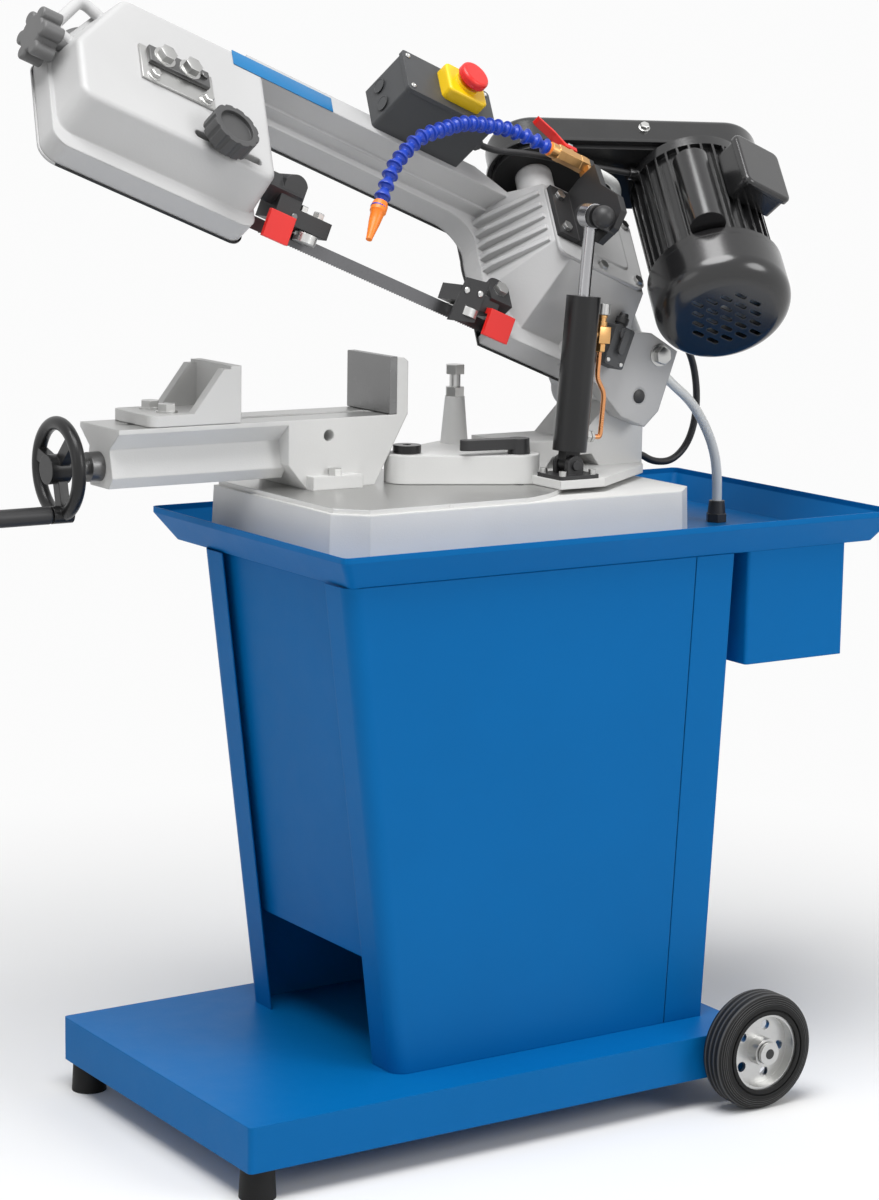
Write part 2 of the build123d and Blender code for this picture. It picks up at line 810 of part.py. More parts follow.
# Swivel casting: lobe round the pivot, clamp lug, stop post and hinge column with its pressed-in pin
raised_ledge = 9.0
lobe_right = column_boss_radius + hinge_x
with BuildPart() as swivel_casting:
    with BuildSketch(Plane.XY.offset(swivel_low)):
        with Locations((pivot_x, pivot_y)):
            Circle(lobe_end_radius)
        with Locations((clamp_x, clamp_y)):
            Circle(clamp_lug_radius)
        with Locations((post_x, post_y)):
            Circle(post_foot_radius + 7)
        make_hull()
    extrude(amount=lobe_height)
    with BuildSketch(Plane.XY.offset(swivel_low)):
        with BuildLine():
            Polyline(
                (clamp_x - 6, post_y + 18),
                (clamp_x - 6, clamp_y + 24),
                (cylinder_foot_x - 27, clamp_y - 6),
                (cylinder_foot_x - 27, cylinder_y - 25),
                (cylinder_foot_x + 30, cylinder_y - 25),
                (lobe_right - 10, column_front - 16),
                (lobe_right, column_front),
                (lobe_right, column_back),
                (clamp_x + 60, post_y + 18),
                close=True,
            )
        make_face()
    extrude(amount=raised_ledge)
    with BuildSketch(front_plane(column_back)):
        with BuildLine():
            Polyline(
                (clamp_x + 4, swivel_low),
                (clamp_x + 4, lobe_top + raised_ledge),
                (hinge_x - 62, lobe_top + raised_ledge),
                (hinge_x - column_boss_radius, hinge_z - 8),
                (hinge_x + column_boss_radius, hinge_z - 8),
                (lobe_right, swivel_low),
                close=True,
            )
        make_face()
        with Locations((hinge_x, hinge_z)):
            Circle(column_boss_radius)
    extrude(amount=column_back - column_front)
    with BuildSketch(front_plane(column_back)):
        with BuildLine():
            Polyline(
                (clamp_x + 44, swivel_low + raised_ledge),
                (clamp_x + 54, lobe_top - 8),
                (hinge_x - 44, lobe_top - 8),
                (hinge_x - 34, swivel_low + raised_ledge),
                close=True,
            )
        make_face()
    extrude(amount=column_back - column_front, mode=Mode.SUBTRACT)
    with BuildSketch(Plane.XY.offset(lobe_top)):
        with Locations((post_x, post_y)):
            Circle(post_foot_radius)
    extrude(amount=post_height, taper=degrees(atan2(post_foot_radius - post_top_radius, post_height)))
    with BuildSketch(Plane.XY.offset(swivel_low)):
        with Locations((post_x, post_y)):
            Circle(stop_bolt_radius)
    extrude(amount=lobe_height + post_height, mode=Mode.SUBTRACT)
    with BuildSketch(Plane.XY.offset(swivel_low)):
        with Locations((pivot_x, pivot_y)):
            Circle(pivot_radius + running_gap)
        with Locations((clamp_x, clamp_y)):
            Circle(clamp_stud_radius + running_gap)
    extrude(amount=lobe_height + raised_ledge, mode=Mode.SUBTRACT)
    with BuildSketch(front_plane(column_back + swing_gap + ear_thickness - 1)):
        with Locations((hinge_x, hinge_z)):
            Circle(hinge_pin_radius)
    extrude(amount=column_back - column_front + 2 * (swing_gap + ear_thickness - 1))
save(swivel_casting, "swivel_casting")

# Stop bolt with its lock nut, standing in the post
post_top = lobe_top + post_height
stop_head_top = post_top + stop_bolt_rise
hex_radius = hex_across / 2
with BuildPart() as stop_bolt:
    with BuildSketch(Plane.XY.offset(lobe_top)):
        with Locations((post_x, post_y)):
            Circle(stop_bolt_radius)
    extrude(amount=stop_head_top - lobe_top)
    with BuildSketch(Plane.XY.offset(post_top), Plane.XY.offset(stop_head_top - 10)):
        with Locations((post_x, post_y)):
            RegularPolygon(hex_radius, 6, major_radius=False)
    extrude(amount=10)
save(stop_bolt, "stop_bolt")

# Clamp lever on its stud, with a round head in the T-slot
lever_low = lobe_top + sliding_gap
lever_length = 62.0
lever_angle = 172.0
with BuildPart() as clamp_lever:
    with BuildSketch(Plane.XY.offset(machined_z - slot_depth - tee_depth + sliding_gap)):
        with Locations((clamp_x, clamp_y)):
            Circle(tee_width / 2 - 1.5)
    extrude(amount=tee_depth - 2 * sliding_gap)
    with BuildSketch(Plane.XY.offset(machined_z - slot_depth - sliding_gap)):
        with Locations((clamp_x, clamp_y)):
            Circle(clamp_stud_radius)
    extrude(amount=lever_low - machined_z + slot_depth + sliding_gap)
    with BuildSketch(Plane.XY.offset(lever_low)):
        with Locations((clamp_x, clamp_y)):
            Circle(12)
    extrude(amount=16, taper=4)
    lever_tip = (
        clamp_x + lever_length * cos(radians(lever_angle)),
        clamp_y + lever_length * sin(radians(lever_angle)),
    )
    with BuildSketch(Plane.XY.offset(lever_low + 5)):
        with Locations((clamp_x, clamp_y)):
            Circle(8)
        with Locations(lever_tip):
            Circle(6.5)
        make_hull()
    extrude(amount=11)
save(clamp_lever, "clamp_lever")

# Feed cylinder, hung between the swivel's mount and the bow's bracket
foot = Vector(cylinder_foot_x, cylinder_y, cylinder_foot_z)
rod_pin = Vector(rod_pin_x, cylinder_y, rod_pin_z)
cylinder_run = rod_pin - foot
cylinder_length = cylinder_run.length
cylinder_dir = cylinder_run.normalized()
cylinder_side = Plane(origin=foot, x_dir=cylinder_dir.cross(away) * -1, z_dir=-away)


def cylinder_plane(s, shift=0.0):
    """Plane square to the cylinder at distance s from its foot pin, moved sideways towards +X."""
    return Plane(origin=foot + cylinder_dir * s + cylinder_side.x_dir * shift, x_dir=away, z_dir=cylinder_dir)


mount_low = swivel_low + raised_ledge
cheek = 6.0
cheek_in = eye_width / 2 + sliding_gap
with BuildPart() as cylinder_mount:
    with BuildSketch(Plane.XY.offset(mount_low)):
        with Locations((cylinder_foot_x, cylinder_y)):
            RectangleRounded(50, 46, 4)
    extrude(amount=4)
    with BuildSketch(front_plane(cylinder_y - cheek_in), front_plane(cylinder_y + cheek_in + cheek)):
        with Locations((cylinder_foot_x, (mount_low + cylinder_foot_z) / 2)):
            Rectangle(20, cylinder_foot_z - mount_low)
        with Locations((cylinder_foot_x, cylinder_foot_z)):
            Circle(10)
    extrude(amount=cheek)
    with BuildSketch(front_plane(cylinder_y + cheek_in + cheek + 3)):
        with Locations((cylinder_foot_x, cylinder_foot_z)):
            Circle(cylinder_pin_radius)
    extrude(amount=2 * (cheek_in + cheek + 3))
    with BuildSketch(Plane.XY.offset(mount_low + 4)):
        for side_x in (-19, 19):
            with Locations((cylinder_foot_x + side_x, cylinder_y - 17), (cylinder_foot_x + side_x, cylinder_y + 17)):
                Circle(4)
    extrude(amount=5)
save(cylinder_mount, "cylinder_mount")

barrel_low = 14.0
barrel_wall = 4.0
barrel_cap = 8.0
with BuildPart() as cylinder_barrel:
    with BuildSketch(cylinder_plane(barrel_low)):
        Circle(barrel_radius)
    extrude(amount=barrel_top - barrel_low)
    with BuildSketch(front_plane(cylinder_y + eye_width / 2)):
        with Locations((cylinder_foot_x, cylinder_foot_z)):
            Circle(eye_radius - 4)
    extrude(amount=eye_width)
    with BuildSketch(cylinder_plane(4)):
        Rectangle(eye_width, 18)
    extrude(amount=barrel_low)
    with BuildSketch(cylinder_plane(barrel_low + barrel_cap)):
        Circle(barrel_radius - barrel_wall)
    extrude(amount=barrel_top - barrel_low - 2 * barrel_cap, mode=Mode.SUBTRACT)
    with BuildSketch(cylinder_plane(barrel_top - barrel_cap - 1)):
        Circle(rod_radius + running_gap)
    extrude(amount=barrel_cap + 2, mode=Mode.SUBTRACT)
    with BuildSketch(front_plane(cylinder_y + eye_width / 2)):
        with Locations((cylinder_foot_x, cylinder_foot_z)):
            Circle(cylinder_pin_radius + running_gap)
    extrude(amount=eye_width, mode=Mode.SUBTRACT)
save(cylinder_barrel, "cylinder_barrel")

# Piston rod; its eye is the open pivot of the linkage
piston_low = 78.0
with BuildPart() as cylinder_rod:
    with BuildSketch(cylinder_plane(piston_low)):
        Circle(barrel_radius - barrel_wall - running_gap)
    extrude(amount=12)
    with BuildSketch(cylinder_plane(piston_low)):
        Circle(rod_radius)
    extrude(amount=cylinder_length - eye_radius + 2 - piston_low)
    with BuildSketch(front_plane(cylinder_y + eye_width / 2)):
        with Locations((rod_pin_x, rod_pin_z)):
            Circle(eye_radius)
            Circle(cylinder_pin_radius + open_pivot_gap, mode=Mode.SUBTRACT)
    extrude(amount=eye_width)
save(cylinder_rod, "cylinder_rod")

# Oil line: needle valve block, S-bent copper tube and end fitting
valve_shift = barrel_radius + 9.0
valve_low = 128.0
tube_radius = 2.6
fitting_s = 30.0
with BuildPart() as oil_line:
    with BuildSketch(cylinder_plane(valve_low, valve_shift)):
        RectangleRounded(15, 15, 2)
    extrude(amount=18)
    with BuildSketch(cylinder_plane(valve_low + 18, valve_shift)):
        Circle(5.5)
    extrude(amount=12)
    with BuildSketch(Plane(origin=cylinder_plane(valve_low + 9, barrel_radius).origin, z_dir=cylinder_side.x_dir)):
        Circle(5)
    extrude(amount=4)
    with BuildSketch(cylinder_plane(valve_low - 9, valve_shift)):
        RegularPolygon(6, 6)
    extrude(amount=9)
    with BuildSketch(Plane(origin=cylinder_plane(fitting_s, barrel_radius).origin, z_dir=cylinder_side.x_dir)):
        RegularPolygon(7, 6)
    extrude(amount=10)
    with BuildLine(cylinder_side) as tube_path:
        FilletPolyline(
            (valve_shift, valve_low - 9),
            (valve_shift, 92),
            (valve_shift + 11, 76),
            (valve_shift + 11, fitting_s),
            (barrel_radius + 10, fitting_s),
            radius=9,
        )
    with BuildSketch(Plane(origin=tube_path.line @ 0, z_dir=tube_path.line % 0)):
        Circle(tube_radius)
    sweep(path=tube_path.line)
save(oil_line, "oil_line")

with BuildPart() as flow_knob:
    with BuildSketch(cylinder_plane(valve_low + 30 + sliding_gap, valve_shift)):
        Circle(7.5)
        with PolarLocations(8.2, 12):
            Circle(0.9, mode=Mode.SUBTRACT)
    extrude(amount=11)
save(flow_knob, "flow_knob")

# Band wheels and their pockets
idler_x = -wheel_centres
wheel_outer = blade_radius - blade_thickness / 2 - 0.3
pocket_radius = wheel_outer + wheel_flange + wheel_clearance
drum_radius = pocket_radius + drum_wall
pocket_front = wheel_front + 1.0
beam_high = drum_radius
box_left = idler_x - drum_radius
box_right = idler_x + box_run


def bow_outline(grow=0.0):
    """Outline of the bow's rim, without the drum: left box, beam and right box."""
    Polyline(
        (box_left - grow, skirt_low - grow),
        (box_right + grow, skirt_low - grow),
        (box_right + 8 + grow, beam_low - grow),
        (throat_right - grow, beam_low - grow),
        (throat_right - grow, right_box_low - grow),
        (right_box_end + grow, right_box_low - grow),
        (right_box_end + grow, 0),
        (0, beam_high + grow),
        (box_left + 66, beam_high + grow),
        (box_left - grow, 5),
        close=True,
    )


# Bow casting
hood_low = skirt_low + 20
hood_front_low = skirt_low + 38
hood_corner = 16.0
rim_corner = 18.0
slide_half = 35.5
slide_front = 43.0
bar_low = -76.0
bar_high = -54.0
bar_back = 20.0
bar_front = 42.0
bar_slot_v = (bar_low + bar_high) / 2
lock_x = idler_x + 72.0
lock_slot_left = idler_x + 42.0
lock_slot_right = idler_x + 122.0
tension_v = 4.0
tension_n = 27.0
tension_screw_radius = 6.0
front_ear_back = column_front - swing_gap
front_ear_front = front_ear_back - ear_thickness
rear_ear_front = column_back + swing_gap
rear_ear_back = rear_ear_front + ear_thickness
stop_reach = hinge_x - post_x
stop_drop = stop_head_top + 1.5 - hinge_z + stop_reach * sin(radians(2.5))
rib_pitch = 17.0
rib_thick = 6.0
with BuildPart() as bow_frame:
    with BuildSketch(bow_face(rim_back)):
        with BuildLine():
            bow_outline()
        make_face()
        Circle(drum_radius)
    extrude(amount=rim_front - rim_back)
    throat_corners = bow_frame.edges().filter_by(Axis((0, 0, 0), tuple(out)))
    fillet(throat_corners.sort_by_distance(bow_point(box_right + 8, beam_low, 0))[0:1], 40)
    throat_corners = bow_frame.edges().filter_by(Axis((0, 0, 0), tuple(out)))
    fillet(throat_corners.sort_by_distance(bow_point(throat_right, beam_low, 0))[0:1], 32)
    for corner_x, corner_v in ((box_left, skirt_low), (box_left, 5), (box_right, skirt_low)):
        rim_edges = bow_frame.edges().filter_by(Axis((0, 0, 0), tuple(out)))
        fillet(rim_edges.sort_by_distance(bow_point(corner_x, corner_v, 0))[0:1], rim_corner)
    # Left hood
    with BuildSketch(bow_face(rim_front)) as hood_foot:
        with BuildLine():
            Polyline(
                (box_left + 5, hood_low),
                (box_right + 2, hood_low),
                (box_right + 6, beam_high - 3),
                (box_left + 68, beam_high - 3),
                (box_left + 5, 2),
                close=True,
            )
        make_face()
        fillet(hood_foot.vertices(), hood_corner)
    with BuildSketch(bow_face(bow_front)) as hood_top:
        with BuildLine():
            Polyline(
                (box_left + 12, hood_front_low),
                (box_right + 5, hood_front_low),
                (box_right + 9, beam_high - 8),
                (box_left + 73, beam_high - 10),
                (box_left + 12, -6),
                close=True,
            )
        make_face()
        fillet(hood_top.vertices(), hood_corner)
    loft(ruled=True)
    hood_rim = bow_frame.faces().sort_by(Axis(tuple(drive_centre), tuple(out)))[-1].edges()
    fillet(hood_rim, 7)
    # Beam with its stepped front and the neck that falls to the gearbox
    with BuildSketch(bow_face(rim_front)):
        with BuildLine():
            Polyline(
                (box_right - 12, beam_low + 11),
                (gear_left - 20, beam_low + 11),
                (gear_left, beam_high - 22),
                (throat_right - 18, beam_high - 2),
                (box_right - 12, beam_high - 2),
                close=True,
            )
        make_face()
    extrude(amount=13)
    with BuildSketch(bow_face(rim_front + 12)):
        with BuildLine():
            Polyline(
                (box_right - 12, beam_low + 15),
                (gear_left - 14, beam_low + 15),
                (gear_left, beam_high - 26),
                (throat_right - 18, beam_high - 4),
                (box_right - 12, beam_high - 4),
                close=True,
            )
        make_face()
    extrude(amount=bow_front - rim_front - 12, taper=2)
    # Gearbox housing with cooling ribs on its left slope
    with BuildSketch(bow_face(rim_front)):
        with BuildLine():
            Polyline(
                (throat_right + 8, gear_low + 3),
                (gear_left + 5, gear_low - 40),
                (gear_right + 18, gear_low - 40),
                (gear_right + 18, gear_high + 28),
                (throat_right + 8, gear_high + 28),
                close=True,
            )
        make_face()
    with BuildSketch(bow_face(gear_front)):
        with BuildLine():
            Polyline(
                (gear_left, gear_low + 20),
                (gear_left + 16, gear_low),
                (gear_right, gear_low),
                (gear_right, gear_high),
                (gear_left, gear_high),
                close=True,
            )
        make_face()
    loft(ruled=True)
    rib_planes = [bow_top(gear_low + 22 + i * rib_pitch) for i in range(5)]
    with BuildSketch(*rib_planes):
        with BuildLine():
            Polyline(
                (throat_right + 1, -rim_front + 2),
                (throat_right + 4, -rim_front - 12),
                (gear_left - 5, -gear_front + 5),
                (gear_left + 12, -gear_front + 5),
                (gear_left + 12, -rim_front + 2),
                close=True,
            )
        make_face()
    extrude(amount=rib_thick)
    # Worm shaft's bearing boss under the motor plate
    with BuildSketch(bow_top(gear_high - 20)):
        with Locations((worm_x, -worm_n)):
            Circle(20)
    extrude(amount=motor_plate_low - gear_high + 20)
    with BuildSketch(bow_top(gear_high - 20)):
        with Locations((worm_x + 44, -worm_n + 6)):
            Rectangle(66, 16)
    extrude(amount=motor_plate_low - gear_high + 20)
    # Hinge ears: front ear with its upper lobe, rear ear with the stop finger
    with BuildSketch(arm_side(front_ear_back)):
        with BuildLine():
            Polyline(
                (-112, -5),
                (-62, -6),
                (-14, -28),
                (20, -28),
                (31, -6),
                (29, 62),
                (-12, 68),
                (-62, 52),
                (-112, 22),
                close=True,
            )
        make_face()
    extrude(amount=ear_thickness)
    with BuildSketch(arm_side(rear_ear_back)):
        with BuildLine():
            Polyline(
                (22, -8),
                (22, 40),
                (-4, 112),
                (-10, 124),
                (-62, 124),
                (-62, 114),
                (-38, 106),
                (-36, 70),
                (-stop_reach - 12, 70),
                (-stop_reach - 12, stop_drop),
                (-stop_reach + 14, stop_drop),
                (-60, 26),
                (-22, -8),
                close=True,
            )
        make_face()
        Circle(column_boss_radius)
    extrude(amount=ear_thickness)
    # Carry handle cast on the slanted corner
    handle_n = 22.0
    with BuildLine(bow_face(handle_n)) as handle_path:
        FilletPolyline(
            (box_left + 24, 22),
            (box_left + 4, 34),
            (box_left + 42, 96),
            (box_left + 64, 82),
            radius=12,
        )
    with BuildSketch(Plane(origin=handle_path.line @ 0, z_dir=handle_path.line % 0)):
        Circle(6)
    sweep(path=handle_path.line)
    # Wheel pockets and the blade's ways through the walls
    with BuildSketch(bow_face(rim_back)):
        Circle(pocket_radius)
    extrude(amount=pocket_front - rim_back, mode=Mode.SUBTRACT)
    with BuildSketch(bow_face(rim_back)):
        with Locations((idler_x, 0), (idler_x + tension_travel, 0)):
            Circle(pocket_radius)
        make_hull()
    extrude(amount=pocket_front - rim_back, mode=Mode.SUBTRACT)
    with BuildSketch(bow_face(rim_back)):
        with Locations((idler_x / 2, blade_radius)):
            Rectangle(wheel_centres, 9)
        with Locations((idler_x / 2 + box_right / 2 + 6, -blade_radius)):
            Rectangle(box_right - idler_x + 12, 15)
        with Locations((throat_right / 2 - 3, -blade_radius)):
            Rectangle(-throat_right + 6, 15)
    extrude(amount=pocket_front - rim_back, mode=Mode.SUBTRACT)
    # Tension slide's chamber, guide bar's channel and lock slot
    with BuildSketch(bow_face(pocket_front - 1)):
        with Locations((idler_x + 10, 0)):
            Rectangle(130, 2 * (slide_half + sliding_gap))
    extrude(amount=slide_front + sliding_gap - pocket_front + 1, mode=Mode.SUBTRACT)
    with BuildSketch(bow_end(idler_x)):
        with Locations((bar_slot_v, (bar_back + bar_front) / 2)):
            Rectangle(bar_high - bar_low + 2 * sliding_gap, bar_front - bar_back + 2 * sliding_gap)
    extrude(amount=box_run + 14, mode=Mode.SUBTRACT)
    with BuildSketch(bow_face(bar_front)):
        with Locations(((lock_slot_left + lock_slot_right) / 2, bar_slot_v)):
            SlotOverall(lock_slot_right - lock_slot_left, 10)
    extrude(amount=bow_front - bar_front + 1, mode=Mode.SUBTRACT)
    with BuildSketch(bow_end(box_left - 4)):
        with Locations((tension_v, tension_n)):
            Circle(tension_screw_radius + running_gap)
    extrude(amount=60, mode=Mode.SUBTRACT)
    # Drive shaft's bearing, worm wheel chamber and worm bore
    with BuildSketch(bow_face(pocket_front - 1)):
        Circle(drive_shaft_radius + running_gap)
    extrude(amount=gear_front - pocket_front, mode=Mode.SUBTRACT)
    with BuildSketch(bow_face(worm_n - worm_wheel_width / 2 - 2)):
        Circle(-worm_x - worm_radius + 3)
    extrude(amount=gear_front - worm_n + worm_wheel_width / 2 + 2, mode=Mode.SUBTRACT)
    with BuildSketch(bow_top(gear_low + 8)):
        with Locations((worm_x, -worm_n)):
            Circle(worm_radius + 2)
    extrude(amount=gear_high - gear_low - 16, mode=Mode.SUBTRACT)
    with BuildSketch(bow_top(gear_high - 10)):
        with Locations((worm_x, -worm_n)):
            Circle(8 + running_gap)
    extrude(amount=motor_plate_low - gear_high + 12, mode=Mode.SUBTRACT)
    # Hinge bores
    with BuildSketch(front_plane(rear_ear_back + 1)):
        with Locations((hinge_x, hinge_z)):
            Circle(hinge_pin_radius + running_gap)
    extrude(amount=rear_ear_back - front_ear_front + 0.5, mode=Mode.SUBTRACT)
save(bow_frame, "bow_frame")

# Back cover sheet, notched for the rear ear
cover_grow = 1.5
with BuildPart() as back_cover:
    with BuildSketch(bow_face(rim_back - cover_sheet)):
        with BuildLine():
            bow_outline(cover_grow)
        make_face()
        Circle(drum_radius + cover_grow)
        with Locations((drum_radius, 45)):
            Rectangle(58, 90, mode=Mode.SUBTRACT)
        with Locations((right_box_end + 20, right_box_low)):
            Rectangle(38, 60, mode=Mode.SUBTRACT)
    extrude(amount=cover_sheet)
    for corner_x, corner_v in ((box_left, skirt_low), (box_left, 5), (box_right, skirt_low)):
        sheet_edges = back_cover.edges().filter_by(Axis((0, 0, 0), tuple(out)))
        fillet(sheet_edges.sort_by_distance(bow_point(corner_x, corner_v, rim_back))[0:1], rim_corner)
save(back_cover, "back_cover")

# Gearbox cover with a raised panel and hex bolts
with BuildPart() as gearbox_cover:
    with BuildSketch(bow_face(gear_front)):
        with Locations(((gear_left + gear_right) / 2, (gear_low + gear_high) / 2)):
            RectangleRounded(gear_right - gear_left, gear_high - gear_low, 12)
    extrude(amount=gear_cover)
    with BuildSketch(bow_face(gear_front + gear_cover)):
        with Locations(((gear_left + gear_right) / 2 + 12, (gear_low + gear_high) / 2)):
            RectangleRounded(56, 64, 8)
    extrude(amount=2, taper=20)
    with BuildSketch(bow_face(gear_front + gear_cover)):
        with Locations(
            (gear_right - 10, gear_low + 10),
            (gear_right - 10, gear_high - 10),
            (0, gear_low + 8),
            (0, gear_high - 8),
        ):
            RegularPolygon(5, 6, major_radius=False)
    extrude(amount=4)
save(gearbox_cover, "gearbox_cover")


def band_wheel(centre_x):
    """Rim with its rear flange, holed web and hub of a band wheel."""
    with BuildPart() as wheel:
        with BuildSketch(bow_face(wheel_back, centre_x)):
            Circle(wheel_outer)
            Circle(wheel_outer - wheel_rim, mode=Mode.SUBTRACT)
        extrude(amount=wheel_front - wheel_back)
        with BuildSketch(bow_face(wheel_back, centre_x)):
            Circle(wheel_outer + wheel_flange)
            Circle(wheel_outer - 2, mode=Mode.SUBTRACT)
        extrude(amount=1)
        with BuildSketch(bow_face(-3, centre_x)):
            Circle(wheel_outer - wheel_rim + 1)
            with PolarLocations(0.6 * wheel_outer, 6):
                Circle(13, mode=Mode.SUBTRACT)
        extrude(amount=6)
        with BuildSketch(bow_face(wheel_back, centre_x)):
            Circle(wheel_hub)
        extrude(amount=wheel_front - wheel_back)
    return wheel.part


idler_rim = band_wheel(idler_x)
with BuildPart() as idler_wheel:
    add(idler_rim)
    with BuildSketch(bow_face(wheel_back, idler_x)):
        Circle(idler_shaft_radius + running_gap)
    extrude(amount=wheel_front - wheel_back, mode=Mode.SUBTRACT)
save(idler_wheel, "idler_wheel")

# Drive wheel on its shaft with the worm wheel at the other end
worm_wheel_radius = -worm_x - worm_radius - 0.5
drive_rim = band_wheel(0)
with BuildPart() as drive_wheel:
    add(drive_rim)
    with BuildSketch(bow_face(wheel_front)):
        Circle(drive_shaft_radius)
    extrude(amount=gear_front - 3 - wheel_front)
    with BuildSketch(bow_face(worm_n - worm_wheel_width / 2)):
        Circle(worm_wheel_radius)
    extrude(amount=worm_wheel_width)
save(drive_wheel, "drive_wheel")

# Tension slide with the idler's shaft
slide_left = idler_x - 46
slide_right = idler_x + 52
with BuildPart() as tension_slide:
    with BuildSketch(bow_face(pocket_front + 4)):
        with Locations(((slide_left + slide_right) / 2, 0)):
            Rectangle(slide_right - slide_left, 2 * slide_half)
    extrude(amount=slide_front - pocket_front - 4)
    with BuildSketch(bow_face(wheel_back + 1, idler_x)):
        Circle(idler_shaft_radius)
    extrude(amount=pocket_front + 5 - wheel_back)
    with BuildSketch(bow_end(slide_left - 1)):
        with Locations((tension_v, tension_n)):
            Circle(tension_screw_radius + running_gap)
    extrude(amount=60, mode=Mode.SUBTRACT)
save(tension_slide, "tension_slide")

# Star knob and tension screw
star_right = box_left - 4
star_thick = 22.0
with BuildPart() as tension_knob:
    with BuildSketch(bow_end(star_right - star_thick)):
        with Locations((tension_v, tension_n)):
            Circle(19)
            with PolarLocations(20, 6):
                Circle(7.5)
    extrude(amount=star_thick)
    fillet(tension_knob.faces().sort_by(Axis(tuple(drive_centre), tuple(along)))[0].edges(), 2.5)
    with BuildSketch(bow_end(star_right - 1)):
        with Locations((tension_v, tension_n)):
            Circle(tension_screw_radius)
    extrude(amount=slide_left + 40 - star_right)
save(tension_knob, "tension_knob")


guide_half = 18.0
guide_low = blade_above_hinge + blade_width / 2 + 4
foot_top = guide_low + 17
guide_roller = 12.0
roller_depth = 9.0


def guide_foot(x_from, x_to, roller_x):
    """Guide block over the blade with its pair of bearing rollers under it."""
    roller_y = blade_thickness / 2 + 0.4 + guide_roller
    with BuildPart() as foot:
        with BuildSketch(arm_side(blade_y + guide_half)):
            with Locations(((x_from + x_to) / 2 - hinge_to_drive, (guide_low + foot_top) / 2)):
                Rectangle(x_to - x_from, foot_top - guide_low)
        extrude(amount=2 * guide_half)
        for side in (-1, 1):
            centre = hinge + along * (roller_x - hinge_to_drive) + away * (blade_y + side * roller_y)
            with BuildSketch(Plane(origin=centre + rise * (guide_low - 3), x_dir=along, z_dir=rise)):
                Circle(4.5)
            extrude(amount=6)
            with BuildSketch(Plane(origin=centre + rise * (guide_low - 2 - roller_depth), x_dir=along, z_dir=rise)):
                Circle(guide_roller)
            extrude(amount=roller_depth)
    return foot.part


# Fixed guide: foot left of the right box, bolted upright on its rim and the plate over the blade's edge
fixed_left = throat_right - 53
fixed_foot = guide_foot(fixed_left, throat_right - 1, throat_right - 34)
upright_left = throat_right - 15
upright_right = throat_right + 13
upright_low = -84.0
upright_high = -50.0
shield_right = fixed_left + 30
shield_low = blade_above_hinge - 12
shield_high = foot_top + 9
with BuildPart() as fixed_guide:
    add(fixed_foot)
    with BuildSketch(bow_face(rim_front)):
        with BuildLine():
            Polyline((upright_right, upright_high - 10), (upright_right, upright_low), (upright_left, upright_low))
            Line((upright_left, upright_low), (upright_left, upright_high - 10))
            ThreePointArc(
                (upright_left, upright_high - 10),
                ((upright_left + upright_right) / 2, upright_high),
                (upright_right, upright_high - 10),
            )
        make_face()
    extrude(amount=20)
    with BuildSketch(bow_face(rim_front + 20)):
        with Locations(((upright_left + upright_right) / 2, (upright_low + upright_high) / 2)):
            RegularPolygon(7, 6, major_radius=False)
    extrude(amount=6)
    with BuildSketch(arm_side(blade_y - guide_half)):
        with BuildLine():
            Polyline(
                (fixed_left - hinge_to_drive - 4, shield_low),
                (shield_right - hinge_to_drive - 2, shield_low + 8),
                (shield_right - hinge_to_drive, shield_high + 4),
                (fixed_left - hinge_to_drive + 2, shield_high),
                close=True,
            )
        make_face()
    extrude(amount=3)
save(fixed_guide, "fixed_guide")

# Red blade guards between the guides and the boxes
guard_back = blade_y - guide_half - 5.0
guard_thick = 5.0
guard_top = guide_low + 6


def blade_guard(label, x_from, x_to, tab_from, tab_to):
    """Guard plate in front of the blade, held to its guide's front by a tab."""
    with BuildPart() as guard:
        with BuildSketch(arm_side(guard_back)):
            with BuildLine():
                Polyline(
                    (x_from - hinge_to_drive, blade_above_hinge - 12),
                    (x_to - hinge_to_drive, blade_above_hinge - 12),
                    (x_to - hinge_to_drive, guard_top),
                    (x_from - hinge_to_drive, guard_top),
                    close=True,
                )
            make_face()
        extrude(amount=guard_thick)
        with BuildSketch(arm_side(blade_y - guide_half)):
            with Locations(((tab_from + tab_to) / 2 - hinge_to_drive, guard_top - 3)):
                Rectangle(tab_to - tab_from, 6)
        extrude(amount=5.5)
    save(guard, label)


blade_guard("guard_right", throat_right - 15, throat_right + 17, throat_right - 15, throat_right - 3)

